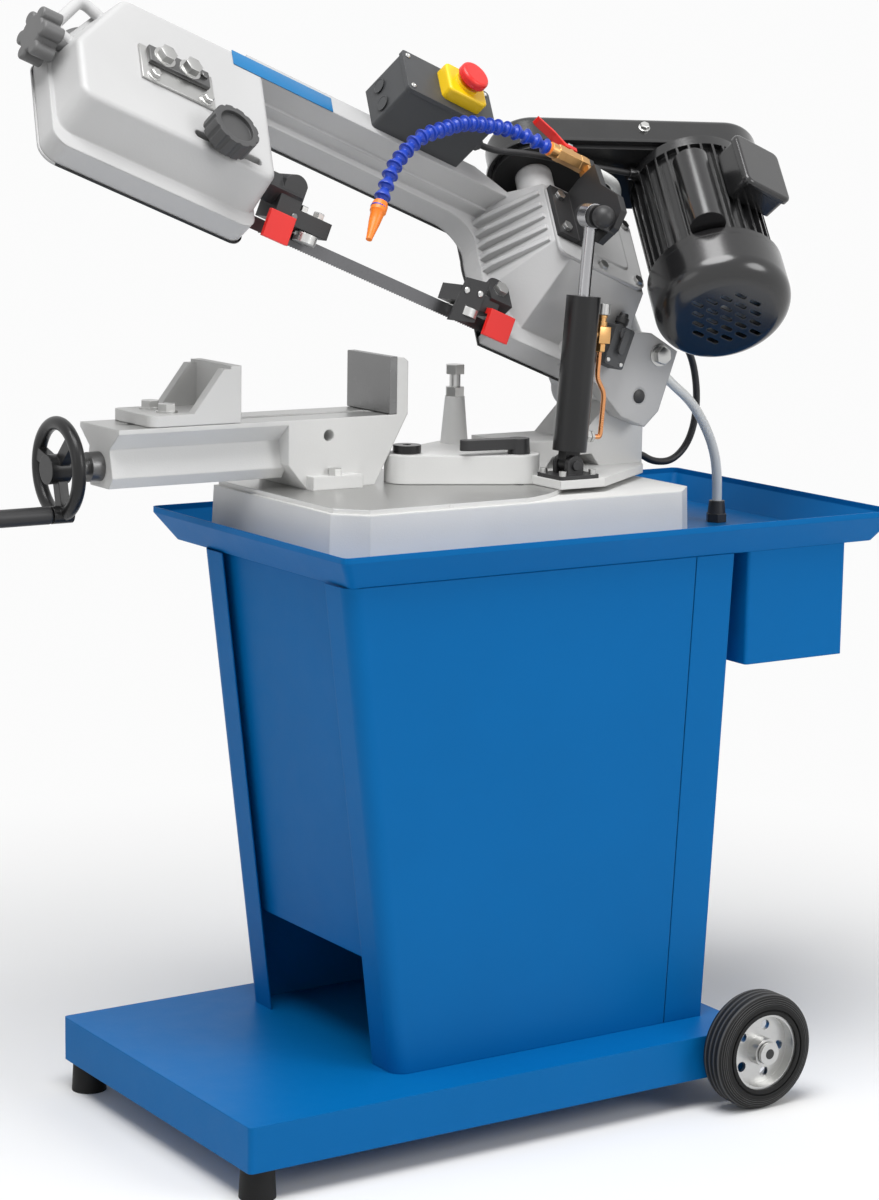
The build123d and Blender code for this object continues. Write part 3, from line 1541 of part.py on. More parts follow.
# Sliding guide arm: bar in the left box's channel, round-topped upright and the foot over the blade
arm_left = idler_x + 35
arm_head_left = box_right + 20
arm_upright_right = arm_head_left + 26
arm_head_right = arm_head_left + 66
arm_top = 62.0
sliding_foot = guide_foot(arm_head_left, arm_head_right, arm_head_right - 21)
with BuildPart() as guide_arm:
    with BuildSketch(bow_end(arm_left)):
        with Locations((bar_slot_v, (bar_back + bar_front) / 2)):
            Rectangle(bar_high - bar_low, bar_front - bar_back)
    extrude(amount=arm_upright_right - arm_left - 2)
    add(sliding_foot)
    with BuildSketch(arm_side(blade_y + guide_half - 4)):
        with BuildLine():
            Polyline(
                (arm_head_left - hinge_to_drive, arm_top - 8),
                (arm_head_left - hinge_to_drive, guide_low),
                (arm_upright_right - hinge_to_drive, guide_low),
                (arm_upright_right - hinge_to_drive, arm_top - 8),
            )
            ThreePointArc(
                (arm_upright_right - hinge_to_drive, arm_top - 8),
                ((arm_head_left + arm_upright_right) / 2 - hinge_to_drive, arm_top),
                (arm_head_left - hinge_to_drive, arm_top - 8),
            )
        make_face()
    extrude(amount=2 * guide_half - 4)
    with BuildSketch(bow_face(bar_front - 11)):
        with Locations((lock_x, bar_slot_v)):
            Circle(4.5 + running_gap)
    extrude(amount=12, mode=Mode.SUBTRACT)
save(guide_arm, "guide_arm")

blade_guard("guard_left", arm_head_left - 10, arm_head_left + 20, arm_head_left + 2, arm_head_left + 20)

# Scalloped lock knob on its stud
with BuildPart() as lock_knob:
    with BuildSketch(bow_face(bar_front - 10)):
        with Locations((lock_x, bar_slot_v)):
            Circle(4.5)
    extrude(amount=bow_front - bar_front + 14)
    with BuildSketch(bow_face(bow_front + 1)):
        with Locations((lock_x, bar_slot_v)):
            Circle(12)
    extrude(amount=8)
    with BuildSketch(bow_face(bow_front + 8)):
        with Locations((lock_x, bar_slot_v)):
            Circle(26)
            with PolarLocations(28, 12):
                Circle(3.5, mode=Mode.SUBTRACT)
    extrude(amount=20)
    with BuildSketch(bow_face(bow_front + 24)):
        with Locations((lock_x, bar_slot_v)):
            Circle(19)
    extrude(amount=6, mode=Mode.SUBTRACT)
save(lock_knob, "lock_knob")

# Saw blade: two half turns, the return run and the cutting run twisted upright through the guides
twist_start = idler_x + tension_travel + 8.0
twist_left = (twist_start, arm_head_left)
twist_right = (throat_right - 1, 0.0)


def blade_section(x, angle):
    """Cross-section of the cutting run at x, turned towards upright by angle."""
    turned_up = out * cos(angle) + up * sin(angle)
    return Plane(origin=bow_point(x, -blade_radius, 0), x_dir=turned_up, z_dir=along)


with BuildPart() as saw_blade:
    half_blade = blade_width / 2
    for centre_x, side in ((idler_x, -1), (0.0, 1)):
        with BuildSketch(bow_face(-half_blade, centre_x)):
            Circle(blade_radius + blade_thickness / 2)
            Circle(blade_radius - blade_thickness / 2, mode=Mode.SUBTRACT)
            with Locations((-side * blade_radius, 0)):
                Rectangle(2 * blade_radius, 3 * blade_radius, mode=Mode.SUBTRACT)
        extrude(amount=blade_width)
    with BuildSketch(bow_end(idler_x)):
        with Locations((blade_radius, 0)):
            Rectangle(blade_thickness, blade_width)
    extrude(amount=wheel_centres)
    for (x_from, x_to), (turn_from, turn_to) in (
        ((idler_x, twist_start), (0, 0)),
        (twist_left, (0, tilt)),
        ((arm_head_left, throat_right - 1), (tilt, tilt)),
        (twist_right, (tilt, 0)),
    ):
        steps = 1 if turn_from == turn_to else 4
        for i in range(steps + 1):
            share = i / steps
            with BuildSketch(blade_section(x_from + share * (x_to - x_from), turn_from + share * (turn_to - turn_from))):
                Rectangle(blade_width, blade_thickness)
        loft(ruled=True)
save(saw_blade, "saw_blade")

# Motor plate and the belt drive, laid along the line from the worm to the motor
belt_run_x = motor_x - worm_x
belt_run_n = motor_n - worm_n
belt_distance = hypot(belt_run_x, belt_run_n)
belt_dir = (along * belt_run_x + out * belt_run_n).normalized()
cover_end = belt_distance + belt_cover_tail
plate_high = motor_plate_low + motor_plate


def belt_plane(v):
    """Plane square to v through the worm's axis, with its first sketch axis towards the motor."""
    return Plane(origin=bow_point(worm_x, v, worm_n), x_dir=belt_dir, z_dir=up)


def stadium(radius):
    """Rounded outline from the worm's axis to past the motor's axis."""
    with Locations((0, 0), (cover_end, 0)):
        Circle(radius)
    make_hull()


with BuildPart() as motor_plate_part:
    with BuildSketch(belt_plane(motor_plate_low)):
        stadium(belt_cover_radius - 2)
        Circle(shaft_radius + 3, mode=Mode.SUBTRACT)
        with Locations((belt_distance, 0)):
            Circle(shaft_radius + 6, mode=Mode.SUBTRACT)
    extrude(amount=motor_plate)
save(motor_plate_part, "motor_plate")

with BuildPart() as belt_cover:
    with BuildSketch(belt_plane(plate_high)):
        stadium(belt_cover_radius)
    extrude(amount=belt_cover_depth)
    fillet(belt_cover.faces().sort_by(Axis(tuple(drive_centre), tuple(up)))[-1].edges(), 9)
    with BuildSketch(belt_plane(plate_high)):
        stadium(belt_cover_radius + belt_cover_lip)
    extrude(amount=belt_cover_lip)
    with BuildSketch(belt_plane(plate_high)):
        stadium(belt_cover_radius - belt_cover_sheet)
    extrude(amount=belt_cover_depth - belt_cover_sheet - 5, mode=Mode.SUBTRACT)
save(belt_cover, "belt_cover")

# Worm shaft with its pulley
pulley_low = plate_high + 7
with BuildPart() as worm_shaft:
    with BuildSketch(belt_plane(gear_low + 10)):
        Circle(shaft_radius)
    extrude(amount=pulley_low + pulley_width + 3 - gear_low - 10)
    with BuildSketch(belt_plane(gear_low + 14)):
        Circle(worm_radius)
    extrude(amount=worm_length)
    with BuildSketch(belt_plane(pulley_low)):
        Circle(worm_pulley)
    extrude(amount=pulley_width)
save(worm_shaft, "worm_shaft")

# Flat-sided belt round both pulleys
with BuildPart() as drive_belt:
    with BuildSketch(belt_plane(pulley_low + 2)):
        Circle(worm_pulley + belt_gap + belt_thick)
        with Locations((belt_distance, 0)):
            Circle(motor_pulley + belt_gap + belt_thick)
        make_hull()
        with BuildSketch(mode=Mode.PRIVATE) as belt_inside:
            Circle(worm_pulley + belt_gap)
            with Locations((belt_distance, 0)):
                Circle(motor_pulley + belt_gap)
            make_hull()
        add(belt_inside.sketch, mode=Mode.SUBTRACT)
    extrude(amount=pulley_width - 4)
save(drive_belt, "drive_belt")


def motor_top(v):
    """Plane square to the motor's axis at v."""
    return bow_top(v, motor_x, motor_n)


# Finned motor body with its terminal box and capacitor cover
fin_height = 7.0
fin_thick = 2.6
core_radius = 30.0
core_gap = 0.5
shield_depth = 10.0
terminal_x = 115.0
terminal_back = motor_n + motor_radius - 4
terminal_height = 24.0
terminal_lid = 8.0
terminal_low = 6.0
terminal_high = 74.0
terminal_width = 60.0
capacitor_angle = 138.0
capacitor_radius = 19.0
capacitor_low = -40.0
capacitor_length = 96.0
gland_turn = atan2(132 - motor_n, 36 - motor_x)
with BuildPart() as motor_body:
    with BuildSketch(motor_top(fan_high)):
        Circle(motor_radius - fin_height)
        with PolarLocations(motor_radius - fin_height / 2 - 1, fin_count):
            Rectangle(fin_height + 2, fin_thick)
    extrude(amount=motor_high - fan_high - shield_depth)
    with BuildSketch(motor_top(motor_high - shield_depth)):
        Circle(motor_radius)
    extrude(amount=motor_plate_low - motor_high + shield_depth)
    with BuildSketch(motor_top(fan_high - 4)):
        Circle(fan_radius)
    extrude(amount=8)
    with BuildSketch(bow_face(terminal_back, terminal_x, (terminal_low + terminal_high) / 2)):
        RectangleRounded(terminal_width, terminal_high - terminal_low, 7)
    extrude(amount=terminal_height)
    lid_face = bow_face(terminal_back + terminal_height, terminal_x, (terminal_low + terminal_high) / 2)
    with BuildSketch(lid_face):
        RectangleRounded(terminal_width + 5, terminal_high - terminal_low + 5, 9)
    extrude(amount=terminal_lid)
    fillet(motor_body.faces().sort_by(Axis(tuple(drive_centre), tuple(out)))[-1].edges(), 4)
    cap_reach = motor_radius + capacitor_radius - 11
    with BuildSketch(motor_top(capacitor_low)):
        with Locations((cap_reach * cos(radians(capacitor_angle)), -cap_reach * sin(radians(capacitor_angle)))):
            Circle(capacitor_radius)
    extrude(amount=capacitor_length)
    gland_dir = along * cos(gland_turn) + out * sin(gland_turn)
    with BuildSketch(Plane(origin=bow_point(motor_x, cable_v, motor_n) + gland_dir * (motor_radius - 4), z_dir=gland_dir)):
        Circle(7)
    extrude(amount=cable_gland)
    with BuildSketch(Plane(origin=bow_point(*motor_cable_exit) + out * 12, z_dir=-out)):
        Circle(7)
    extrude(amount=12)
    with BuildSketch(motor_top(fan_high - 4)):
        Circle(core_radius)
    extrude(amount=motor_high - shield_depth - fan_high, mode=Mode.SUBTRACT)
    with BuildSketch(motor_top(fan_high - 4)):
        Circle(shaft_radius + running_gap)
    extrude(amount=motor_plate_low - fan_high + 4, mode=Mode.SUBTRACT)
save(motor_body, "motor_body")

cover_low = fan_high - 4
dome_radius = 22.0
slot_length = 15.0
slot_height = 5.0
slot_pitch_x = 21.0
slot_pitch_n = 11.0
grille_radius = 50.0
with BuildPart() as fan_hollow:
    with BuildSketch(motor_top(fan_low + fan_sheet)):
        Circle(fan_radius - fan_sheet)
    extrude(amount=cover_low - fan_low)
    fillet(fan_hollow.faces().sort_by(Axis(tuple(drive_centre), tuple(up)))[0].edges(), dome_radius - fan_sheet)

with BuildPart() as fan_cover:
    with BuildSketch(motor_top(fan_low)):
        Circle(fan_radius)
    extrude(amount=cover_low - fan_low)
    fillet(fan_cover.faces().sort_by(Axis(tuple(drive_centre), tuple(up)))[0].edges(), dome_radius)
    add(fan_hollow.part, mode=Mode.SUBTRACT)
    grille = [
        (slot_pitch_x * (i + row % 2 / 2), slot_pitch_n * row)
        for row in range(-4, 5)
        for i in range(-3, 4)
        if hypot(slot_pitch_x * (i + row % 2 / 2), slot_pitch_n * row) < grille_radius - slot_length / 2
    ]
    with BuildSketch(motor_top(fan_low)):
        with Locations(*grille):
            SlotOverall(slot_length, slot_height)
    extrude(amount=fan_sheet, mode=Mode.SUBTRACT)
save(fan_cover, "fan_cover")

# Motor rotor: core, shaft, fan and pulley
with BuildPart() as motor_rotor:
    with BuildSketch(motor_top(fan_low + 12)):
        Circle(shaft_radius)
    extrude(amount=pulley_low + pulley_width + 3 - fan_low - 12)
    with BuildSketch(motor_top(fan_high + 8)):
        Circle(core_radius - core_gap)
    extrude(amount=motor_high - shield_depth - fan_high - 18)
    with BuildSketch(motor_top(fan_low + 14)):
        Circle(22)
        with PolarLocations(36, 8):
            Rectangle(40, 4)
    extrude(amount=20)
    with BuildSketch(motor_top(fan_low + 14)):
        Circle(56)
    extrude(amount=3)
    with BuildSketch(motor_top(pulley_low)):
        Circle(motor_pulley)
    extrude(amount=pulley_width)
save(motor_rotor, "motor_rotor")

# Switch box on the beam, with its lid, cable glands and yellow switch housing
switch_lid = 5.0
switch_mid_x = (switch_left + switch_right) / 2
switch_mid_v = (switch_low + switch_high) / 2
with BuildPart() as switch_box:
    with BuildSketch(bow_face(bow_front, switch_mid_x, switch_mid_v)):
        RectangleRounded(switch_right - switch_left - 3, switch_high - switch_low - 3, 4)
    extrude(amount=switch_front - switch_lid - bow_front)
    with BuildSketch(bow_face(switch_front - switch_lid, switch_mid_x, switch_mid_v)):
        RectangleRounded(switch_right - switch_left, switch_high - switch_low, 5)
    extrude(amount=switch_lid)
    with BuildSketch(bow_face(bow_front + 4, switch_mid_x, switch_mid_v)):
        RectangleRounded(switch_right - switch_left - 9, switch_high - switch_low - 9, 2)
    extrude(amount=switch_front - switch_lid - bow_front - 4, mode=Mode.SUBTRACT)
    with BuildSketch(bow_end(switch_right - 2)):
        with Locations((cable_v, switch_gland_n)):
            RegularPolygon(8, 6)
    extrude(amount=10)
    with BuildSketch(bow_face(bow_front, button_x, button_v)):
        Circle(button_stem + running_gap)
    extrude(amount=switch_front - bow_front, mode=Mode.SUBTRACT)
save(switch_box, "switch_box")

with BuildPart() as switch_housing:
    with BuildSketch(bow_face(switch_front, button_x, button_v)):
        RectangleRounded(50, 42, 6)
    extrude(amount=housing_height)
    fillet(switch_housing.faces().sort_by(Axis(tuple(drive_centre), tuple(out)))[-1].edges(), 3)
    with BuildSketch(bow_face(switch_front + housing_height - 1, button_x, button_v)):
        Circle(14)
    extrude(amount=4)
    with BuildSketch(bow_face(switch_front, button_x, button_v)):
        Circle(button_stem + running_gap)
    extrude(amount=housing_height + 4, mode=Mode.SUBTRACT)
save(switch_housing, "switch_housing")

# Red mushroom stop button
button_low = switch_front + housing_height + 3 + button_travel + 1
with BuildPart() as stop_button:
    with BuildSketch(bow_face(bow_front + 12, button_x, button_v)):
        Circle(button_stem)
    extrude(amount=button_low - bow_front - 12 + 1)
    with BuildSketch(bow_face(button_low, button_x, button_v)):
        Circle(17)
    extrude(amount=9)
    fillet(stop_button.faces().sort_by(Axis(tuple(drive_centre), tuple(out)))[-1].edges(), 4)
save(stop_button, "stop_button")

# Bracket on the gearbox cover that carries the rod's fork and the coolant valve
pin_a = (rod_pin - hinge).dot(along)
pin_rise = (rod_pin - hinge).dot(rise)
fork_in = eye_width / 2 + sliding_gap
fork_cheek = 5.0
pin_ball = 12.0
ball_y = cylinder_y - fork_in - fork_cheek - pin_ball + 3
web_left = -34.0
web_right = -26.0
bracket_low = gear_front + gear_cover
valve_v = 68.0
valve_n = 130.0
with BuildPart() as rod_bracket:
    with BuildSketch(bow_face(bracket_low)):
        with Locations(((gear_left + web_right) / 2, 15)):
            Rectangle(web_right - gear_left, 70)
    extrude(amount=6)
    with BuildSketch(bow_end(web_left)):
        with BuildLine():
            Polyline(
                (-20, bracket_low),
                (50, bracket_low),
                (56, 118),
                (56, 146),
                (24, 148),
                (-8, 166),
                (-30, 166),
                (-42, 150),
                (-42, 124),
                (-24, 112),
                close=True,
            )
        make_face()
    extrude(amount=web_right - web_left)
    with BuildSketch(arm_side(cylinder_y - fork_in), arm_side(cylinder_y + fork_in + fork_cheek)):
        with Locations((pin_a, pin_rise)):
            Circle(12)
        with Locations(((pin_a + web_right - hinge_to_drive) / 2, pin_rise)):
            Rectangle(web_right - hinge_to_drive - pin_a, 20)
    extrude(amount=fork_cheek)
    with BuildSketch(front_plane(cylinder_y + fork_in + fork_cheek + 2)):
        with Locations((rod_pin_x, rod_pin_z)):
            Circle(cylinder_pin_radius)
    extrude(amount=2 * (fork_in + fork_cheek) + 6)
    with BuildSketch(Plane(origin=(rod_pin_x, ball_y, rod_pin_z), x_dir=(1, 0, 0), z_dir=(0, 0, 1))):
        Circle(pin_ball)
        with Locations((-pin_ball, 0)):
            Rectangle(2 * pin_ball, 2 * pin_ball, mode=Mode.SUBTRACT)
    revolve(axis=Axis((rod_pin_x, ball_y, rod_pin_z), (0, 1, 0)), revolution_arc=360)
    with BuildSketch(bow_face(bracket_low + 6)):
        with Locations((gear_left + 10, -8), (gear_left + 10, 38)):
            RegularPolygon(5, 6, major_radius=False)
    extrude(amount=4)
save(rod_bracket, "rod_bracket")

# Coolant valve on the bracket's top, with its hose fitting and connector
valve_left = -72.0
valve_right = -30.0
valve_stem_x = -50.0
fitting_right = -24.0
connector_left = -81.0
with BuildPart() as coolant_valve:
    with BuildSketch(bow_end(valve_left)):
        with Locations((valve_v, valve_n)):
            RegularPolygon(9, 6)
    extrude(amount=valve_right - valve_left)
    with BuildSketch(bow_end(valve_right)):
        with Locations((valve_v, valve_n)):
            RegularPolygon(8.5, 6)
    extrude(amount=fitting_right - valve_right)
    with BuildSketch(bow_end(connector_left)):
        with Locations((valve_v, valve_n)):
            Circle(8)
    extrude(amount=valve_left - connector_left)
    with BuildSketch(bow_top(56)):
        with Locations(((web_left + web_right) / 2, -valve_n)):
            Rectangle(web_right - web_left, 14)
    extrude(amount=valve_v - 56)
    with BuildSketch(bow_top(valve_v)):
        with Locations((valve_stem_x, -valve_n)):
            Circle(5)
    extrude(amount=11)
save(coolant_valve, "coolant_valve")

lever_foot = valve_v + 11 + sliding_gap
with BuildPart() as valve_lever:
    with BuildSketch(bow_face(valve_n - 5)):
        with BuildLine():
            Polyline(
                (valve_stem_x + 7, lever_foot),
                (valve_stem_x - 8, lever_foot),
                (valve_stem_x - 20, lever_foot + 12),
                (valve_stem_x - 40, lever_foot + 24),
                (valve_stem_x - 42, lever_foot + 28),
                (valve_stem_x - 22, lever_foot + 17),
                (valve_stem_x - 8, lever_foot + 5),
                (valve_stem_x + 7, lever_foot + 5),
                close=True,
            )
        make_face()
    extrude(amount=10)
save(valve_lever, "valve_lever")

# Limit switch on the front ear
with BuildPart() as limit_switch:
    with BuildSketch(arm_side(front_ear_front)):
        with Locations((-62, 36)):
            RectangleRounded(26, 44, 3)
    extrude(amount=22)
    with BuildSketch(arm_side(front_ear_front - 22)):
        with Locations((-62, 50)):
            Circle(7)
    extrude(amount=4)
    with BuildSketch(arm_side(front_ear_front - 25)):
        SlotCenterPoint((-62, 42), (-62, 52), 8)
    extrude(amount=3)
save(limit_switch, "limit_switch")


def corner_radii(points):
    """Bend radius at each inner corner of a cord's route: 0.45 of the shorter run over the half turn's tangent."""
    radii = []
    for before, corner, after in zip(points, points[1:], points[2:]):
        run_in = corner - before
        run_out = after - corner
        turn = radians(run_in.get_angle(run_out))
        radii.append(0.45 * min(run_in.length, run_out.length) / tan(turn / 2))
    return radii


def cord(label, points, radius):
    """Round cord on straight runs joined by tangent arcs."""
    radii = corner_radii(points)
    with BuildPart() as tube:
        with BuildLine() as route:
            FilletPolyline(*points, radius=radii)
        with BuildSketch(Plane(origin=route.line @ 0, z_dir=route.line % 0)):
            Circle(radius)
        sweep(path=route.line)
    length = route.wires()[0].length
    share = tube.part.volume / (pi * radius**2 * length)
    print(label, "radii", [round(r, 1) for r in radii], "length", round(length, 1), "fill", round(share, 4))
    save(tube, label)


def frame_point(x, y, z):
    """Point given from the tray's centre, at height z."""
    return Vector(tray_x + x, tray_y + y, z)


# Coolant hose from the valve over the gearbox and down to the gland, in two lengths joined beside the column
hose_joint = frame_point(189, 24.5, 755)
cord(
    "coolant_hose_upper",
    [
        bow_point(fitting_right, valve_v, valve_n),
        bow_point(2, valve_v, valve_n),
        bow_point(22, 73, 123),
        bow_point(42, 80, 102),
        bow_point(62, 84, 76),
        bow_point(84, 80, 52),
        bow_point(108, 66, 32),
        bow_point(122, 40, 16),
        frame_point(167, 40, 798),
        frame_point(178, 29, 768),
        hose_joint,
    ],
    hose_radius,
)
cord(
    "coolant_hose_lower",
    [
        hose_joint,
        frame_point(200, 20, 742),
        frame_point(231, 13, 716),
        frame_point(252, 6, 676),
        Vector(gland_x, gland_y, 640),
        Vector(gland_x, gland_y, pan_top + gland_height),
    ],
    hose_radius,
)

# Motor cable from under the motor down to the column
cable_radius = 4.0
cable_end_z = 664.0
cord(
    "motor_cable",
    [
        bow_point(*motor_cable_exit),
        bow_point(*motor_cable_exit) - out * 34,
        frame_point(236, 28, 776),
        frame_point(252, 32, 724),
        frame_point(247, 34, 676),
        frame_point(222, 33, 650),
        frame_point(190, 30, 650),
        frame_point(165, 28, cable_end_z),
        Vector(lobe_right, tray_y + 28, cable_end_z),
    ],
    cable_radius,
)

# Switch cable from the box to the motor's end shield
gland_end = bow_point(motor_x, cable_v, motor_n) + gland_dir * (motor_radius - 4 + cable_gland)
cord(
    "switch_cable",
    [
        bow_point(switch_right + 8, cable_v, switch_gland_n),
        bow_point(-114, cable_v, switch_gland_n),
        bow_point(-88, cable_v, 93),
        bow_point(-56, cable_v, 105),
        bow_point(-20, cable_v, 112),
        gland_end + gland_dir * 22,
        gland_end,
    ],
    cable_radius - 0.5,
)

# Segmented coolant hose: ball joints along its route, then the nozzle
hose_route = [
    (connector_left, valve_v, valve_n),
    (-119, 70, 129),
    (-140, 68, 128),
    (-171, 56, 128),
    (-201, 44, 127),
    (-229, 23, 122),
    (-251, 9, 115),
    (-265, -7, 105),
    (-281, -33, 95),
    (-287, -56, 85),
    (-291, -77, 75),
    (-299, -117, 58),
]
segment_count = 25
segment_neck = 6.0
segment_belly = 8.5
segment_bore = 3.0
nozzle_share = 0.1
with BuildPart() as nozzle_hose:
    with BuildLine() as hose_line:
        Spline(*[bow_point(*point) for point in hose_route], tangents=(-along, -up - out * 0.4))
    spine = hose_line.line
    for outer, mode in ((True, Mode.ADD), (False, Mode.SUBTRACT)):
        stations = []
        for i in range(segment_count):
            for part, size in ((0.0, segment_neck), (0.25, segment_belly), (0.75, segment_belly)):
                stations.append(((i + part) / segment_count * (1 - nozzle_share), size))
        stations += [(1 - nozzle_share, segment_neck), (1 - 0.8 * nozzle_share, 7.5), (1.0, 4.0)]
        if not outer:
            stations = [(share, segment_bore) for share, size in stations[::6]] + [(1.0, segment_bore)]
        for share, size in stations:
            heading = spine % share
            steady = out - heading * out.dot(heading)
            with BuildSketch(Plane(origin=spine @ share, x_dir=steady, z_dir=heading)):
                Circle(size)
        loft(ruled=True, mode=mode)
save(nozzle_hose, "nozzle_hose")
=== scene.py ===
"""Looks of the metal cutting band saw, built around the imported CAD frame."""
import logging
from dataclasses import dataclass, replace
from enum import Enum
from functools import partialmethod
from math import atan2, cos, pi, radians, sin
from typing import Sequence, Union

import bmesh
import bpy
from bpy.types import ID, GeometryNodeTree, Material, Mesh, NodeSocket, Object, Scene, World
from mathutils import Matrix, Vector


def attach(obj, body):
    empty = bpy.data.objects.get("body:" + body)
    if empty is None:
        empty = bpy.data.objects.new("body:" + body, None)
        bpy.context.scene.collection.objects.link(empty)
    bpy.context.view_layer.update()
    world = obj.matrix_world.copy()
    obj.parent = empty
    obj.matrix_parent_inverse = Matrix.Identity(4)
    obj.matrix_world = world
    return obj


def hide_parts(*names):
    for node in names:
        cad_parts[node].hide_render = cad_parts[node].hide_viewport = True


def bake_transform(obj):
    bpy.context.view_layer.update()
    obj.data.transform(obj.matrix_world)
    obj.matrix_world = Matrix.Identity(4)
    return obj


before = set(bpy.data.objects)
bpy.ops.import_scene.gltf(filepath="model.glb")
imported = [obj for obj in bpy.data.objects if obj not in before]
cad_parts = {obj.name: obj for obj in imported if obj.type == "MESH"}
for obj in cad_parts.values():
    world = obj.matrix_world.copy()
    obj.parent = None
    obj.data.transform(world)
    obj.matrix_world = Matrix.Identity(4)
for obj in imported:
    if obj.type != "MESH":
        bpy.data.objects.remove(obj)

log = logging.getLogger("band_saw")
Pair = tuple[float, float]
Triple = tuple[float, float, float]
Point = Sequence[float]
Path = Sequence[Vector]
Number = Union["Value", float]
Input = Union[Number, Point]
MM = 0.001
PLAIN = Matrix.Scale(MM, 4)
WHITE, WHITE_LEVEL = (1.0, 1.0, 1.0, 1.0), 0.97


def basis(origin: Vector, x: Vector, y: Vector, z: Vector) -> Matrix:
    """Matrix from millimetres along unit axes at an origin to frame metres."""
    return PLAIN @ Matrix.Translation(origin) @ Matrix((x, y, z)).transposed().to_4x4()


class Layout:
    """Places shared with the CAD model, in millimetres, and the axes of its assemblies."""

    tray_x, tray_y = 128.25, 37.55
    lift, tilt = radians(22), radians(46)
    along = Vector((cos(lift), 0, -sin(lift)))
    rise = Vector((sin(lift), 0, cos(lift)))
    away = Vector((0, 1, 0))
    up = rise * sin(tilt) + away * cos(tilt)
    out = rise * cos(tilt) - away * sin(tilt)
    hinge_x, hinge_z, blade_y, blade_rise = 110, 735, -26, 3
    blade_radius = 560 / (2 * pi)
    hinge = Vector((hinge_x + tray_x, tray_y, hinge_z))
    drive = hinge - along * hinge_x + away * (blade_y + blade_radius * cos(tilt))
    drive = drive + rise * (blade_rise + blade_radius * sin(tilt))
    foot = Vector((tray_x - 9, tray_y - 84, 673))
    rod_pin = Vector((tray_x + 13, tray_y - 84, 931))
    rod = (rod_pin - foot).normalized()
    bow_axes = basis(drive, along, up, out)
    arm_axes = basis(hinge, along, away, rise)
    tray_axes = basis(Vector((tray_x, tray_y, 0)), Vector((1, 0, 0)), away, Vector((0, 0, 1)))
    cylinder_axes = basis(foot, away.cross(rod), away, rod)

    @classmethod
    def bow(cls, x: float, v: float, n: float) -> Vector:
        """Point given in bow axes, in metres."""
        return cls.bow_axes @ Vector((x, v, n))

    @classmethod
    def tray(cls, x: float, y: float, z: float) -> Vector:
        """Point given from the tray's centre, in metres."""
        return Vector((x + cls.tray_x, y + cls.tray_y, z)) * MM


class Recipe(Enum):
    """Kinds of surface."""

    PAINT, CAST, BRUSHED, SWIRL, MOULDED, RUBBER, CLEAR, STAGE = range(8)


@dataclass(frozen=True)
class Finish:
    """One surface finish.

    Attributes:
        name, recipe: material name and kind of surface.
        color, rough: linear base colour and mean roughness.
        grain, relief: size of the fine grain in millimetres and strength of its bump.
        edge: radius in millimetres of the softened edges.
        metal, coat: metallic share and clear coat weight.
        tone, shine: spread of the slow tone change and strength of the plain reflection.
    """

    name: str
    recipe: Recipe
    color: Triple
    rough: float
    grain: float = 1.2
    relief: float = 0.08
    edge: float = 1.0
    metal: float = 0.0
    coat: float = 0.0
    tone: float = 0.06
    shine: float = 0.5


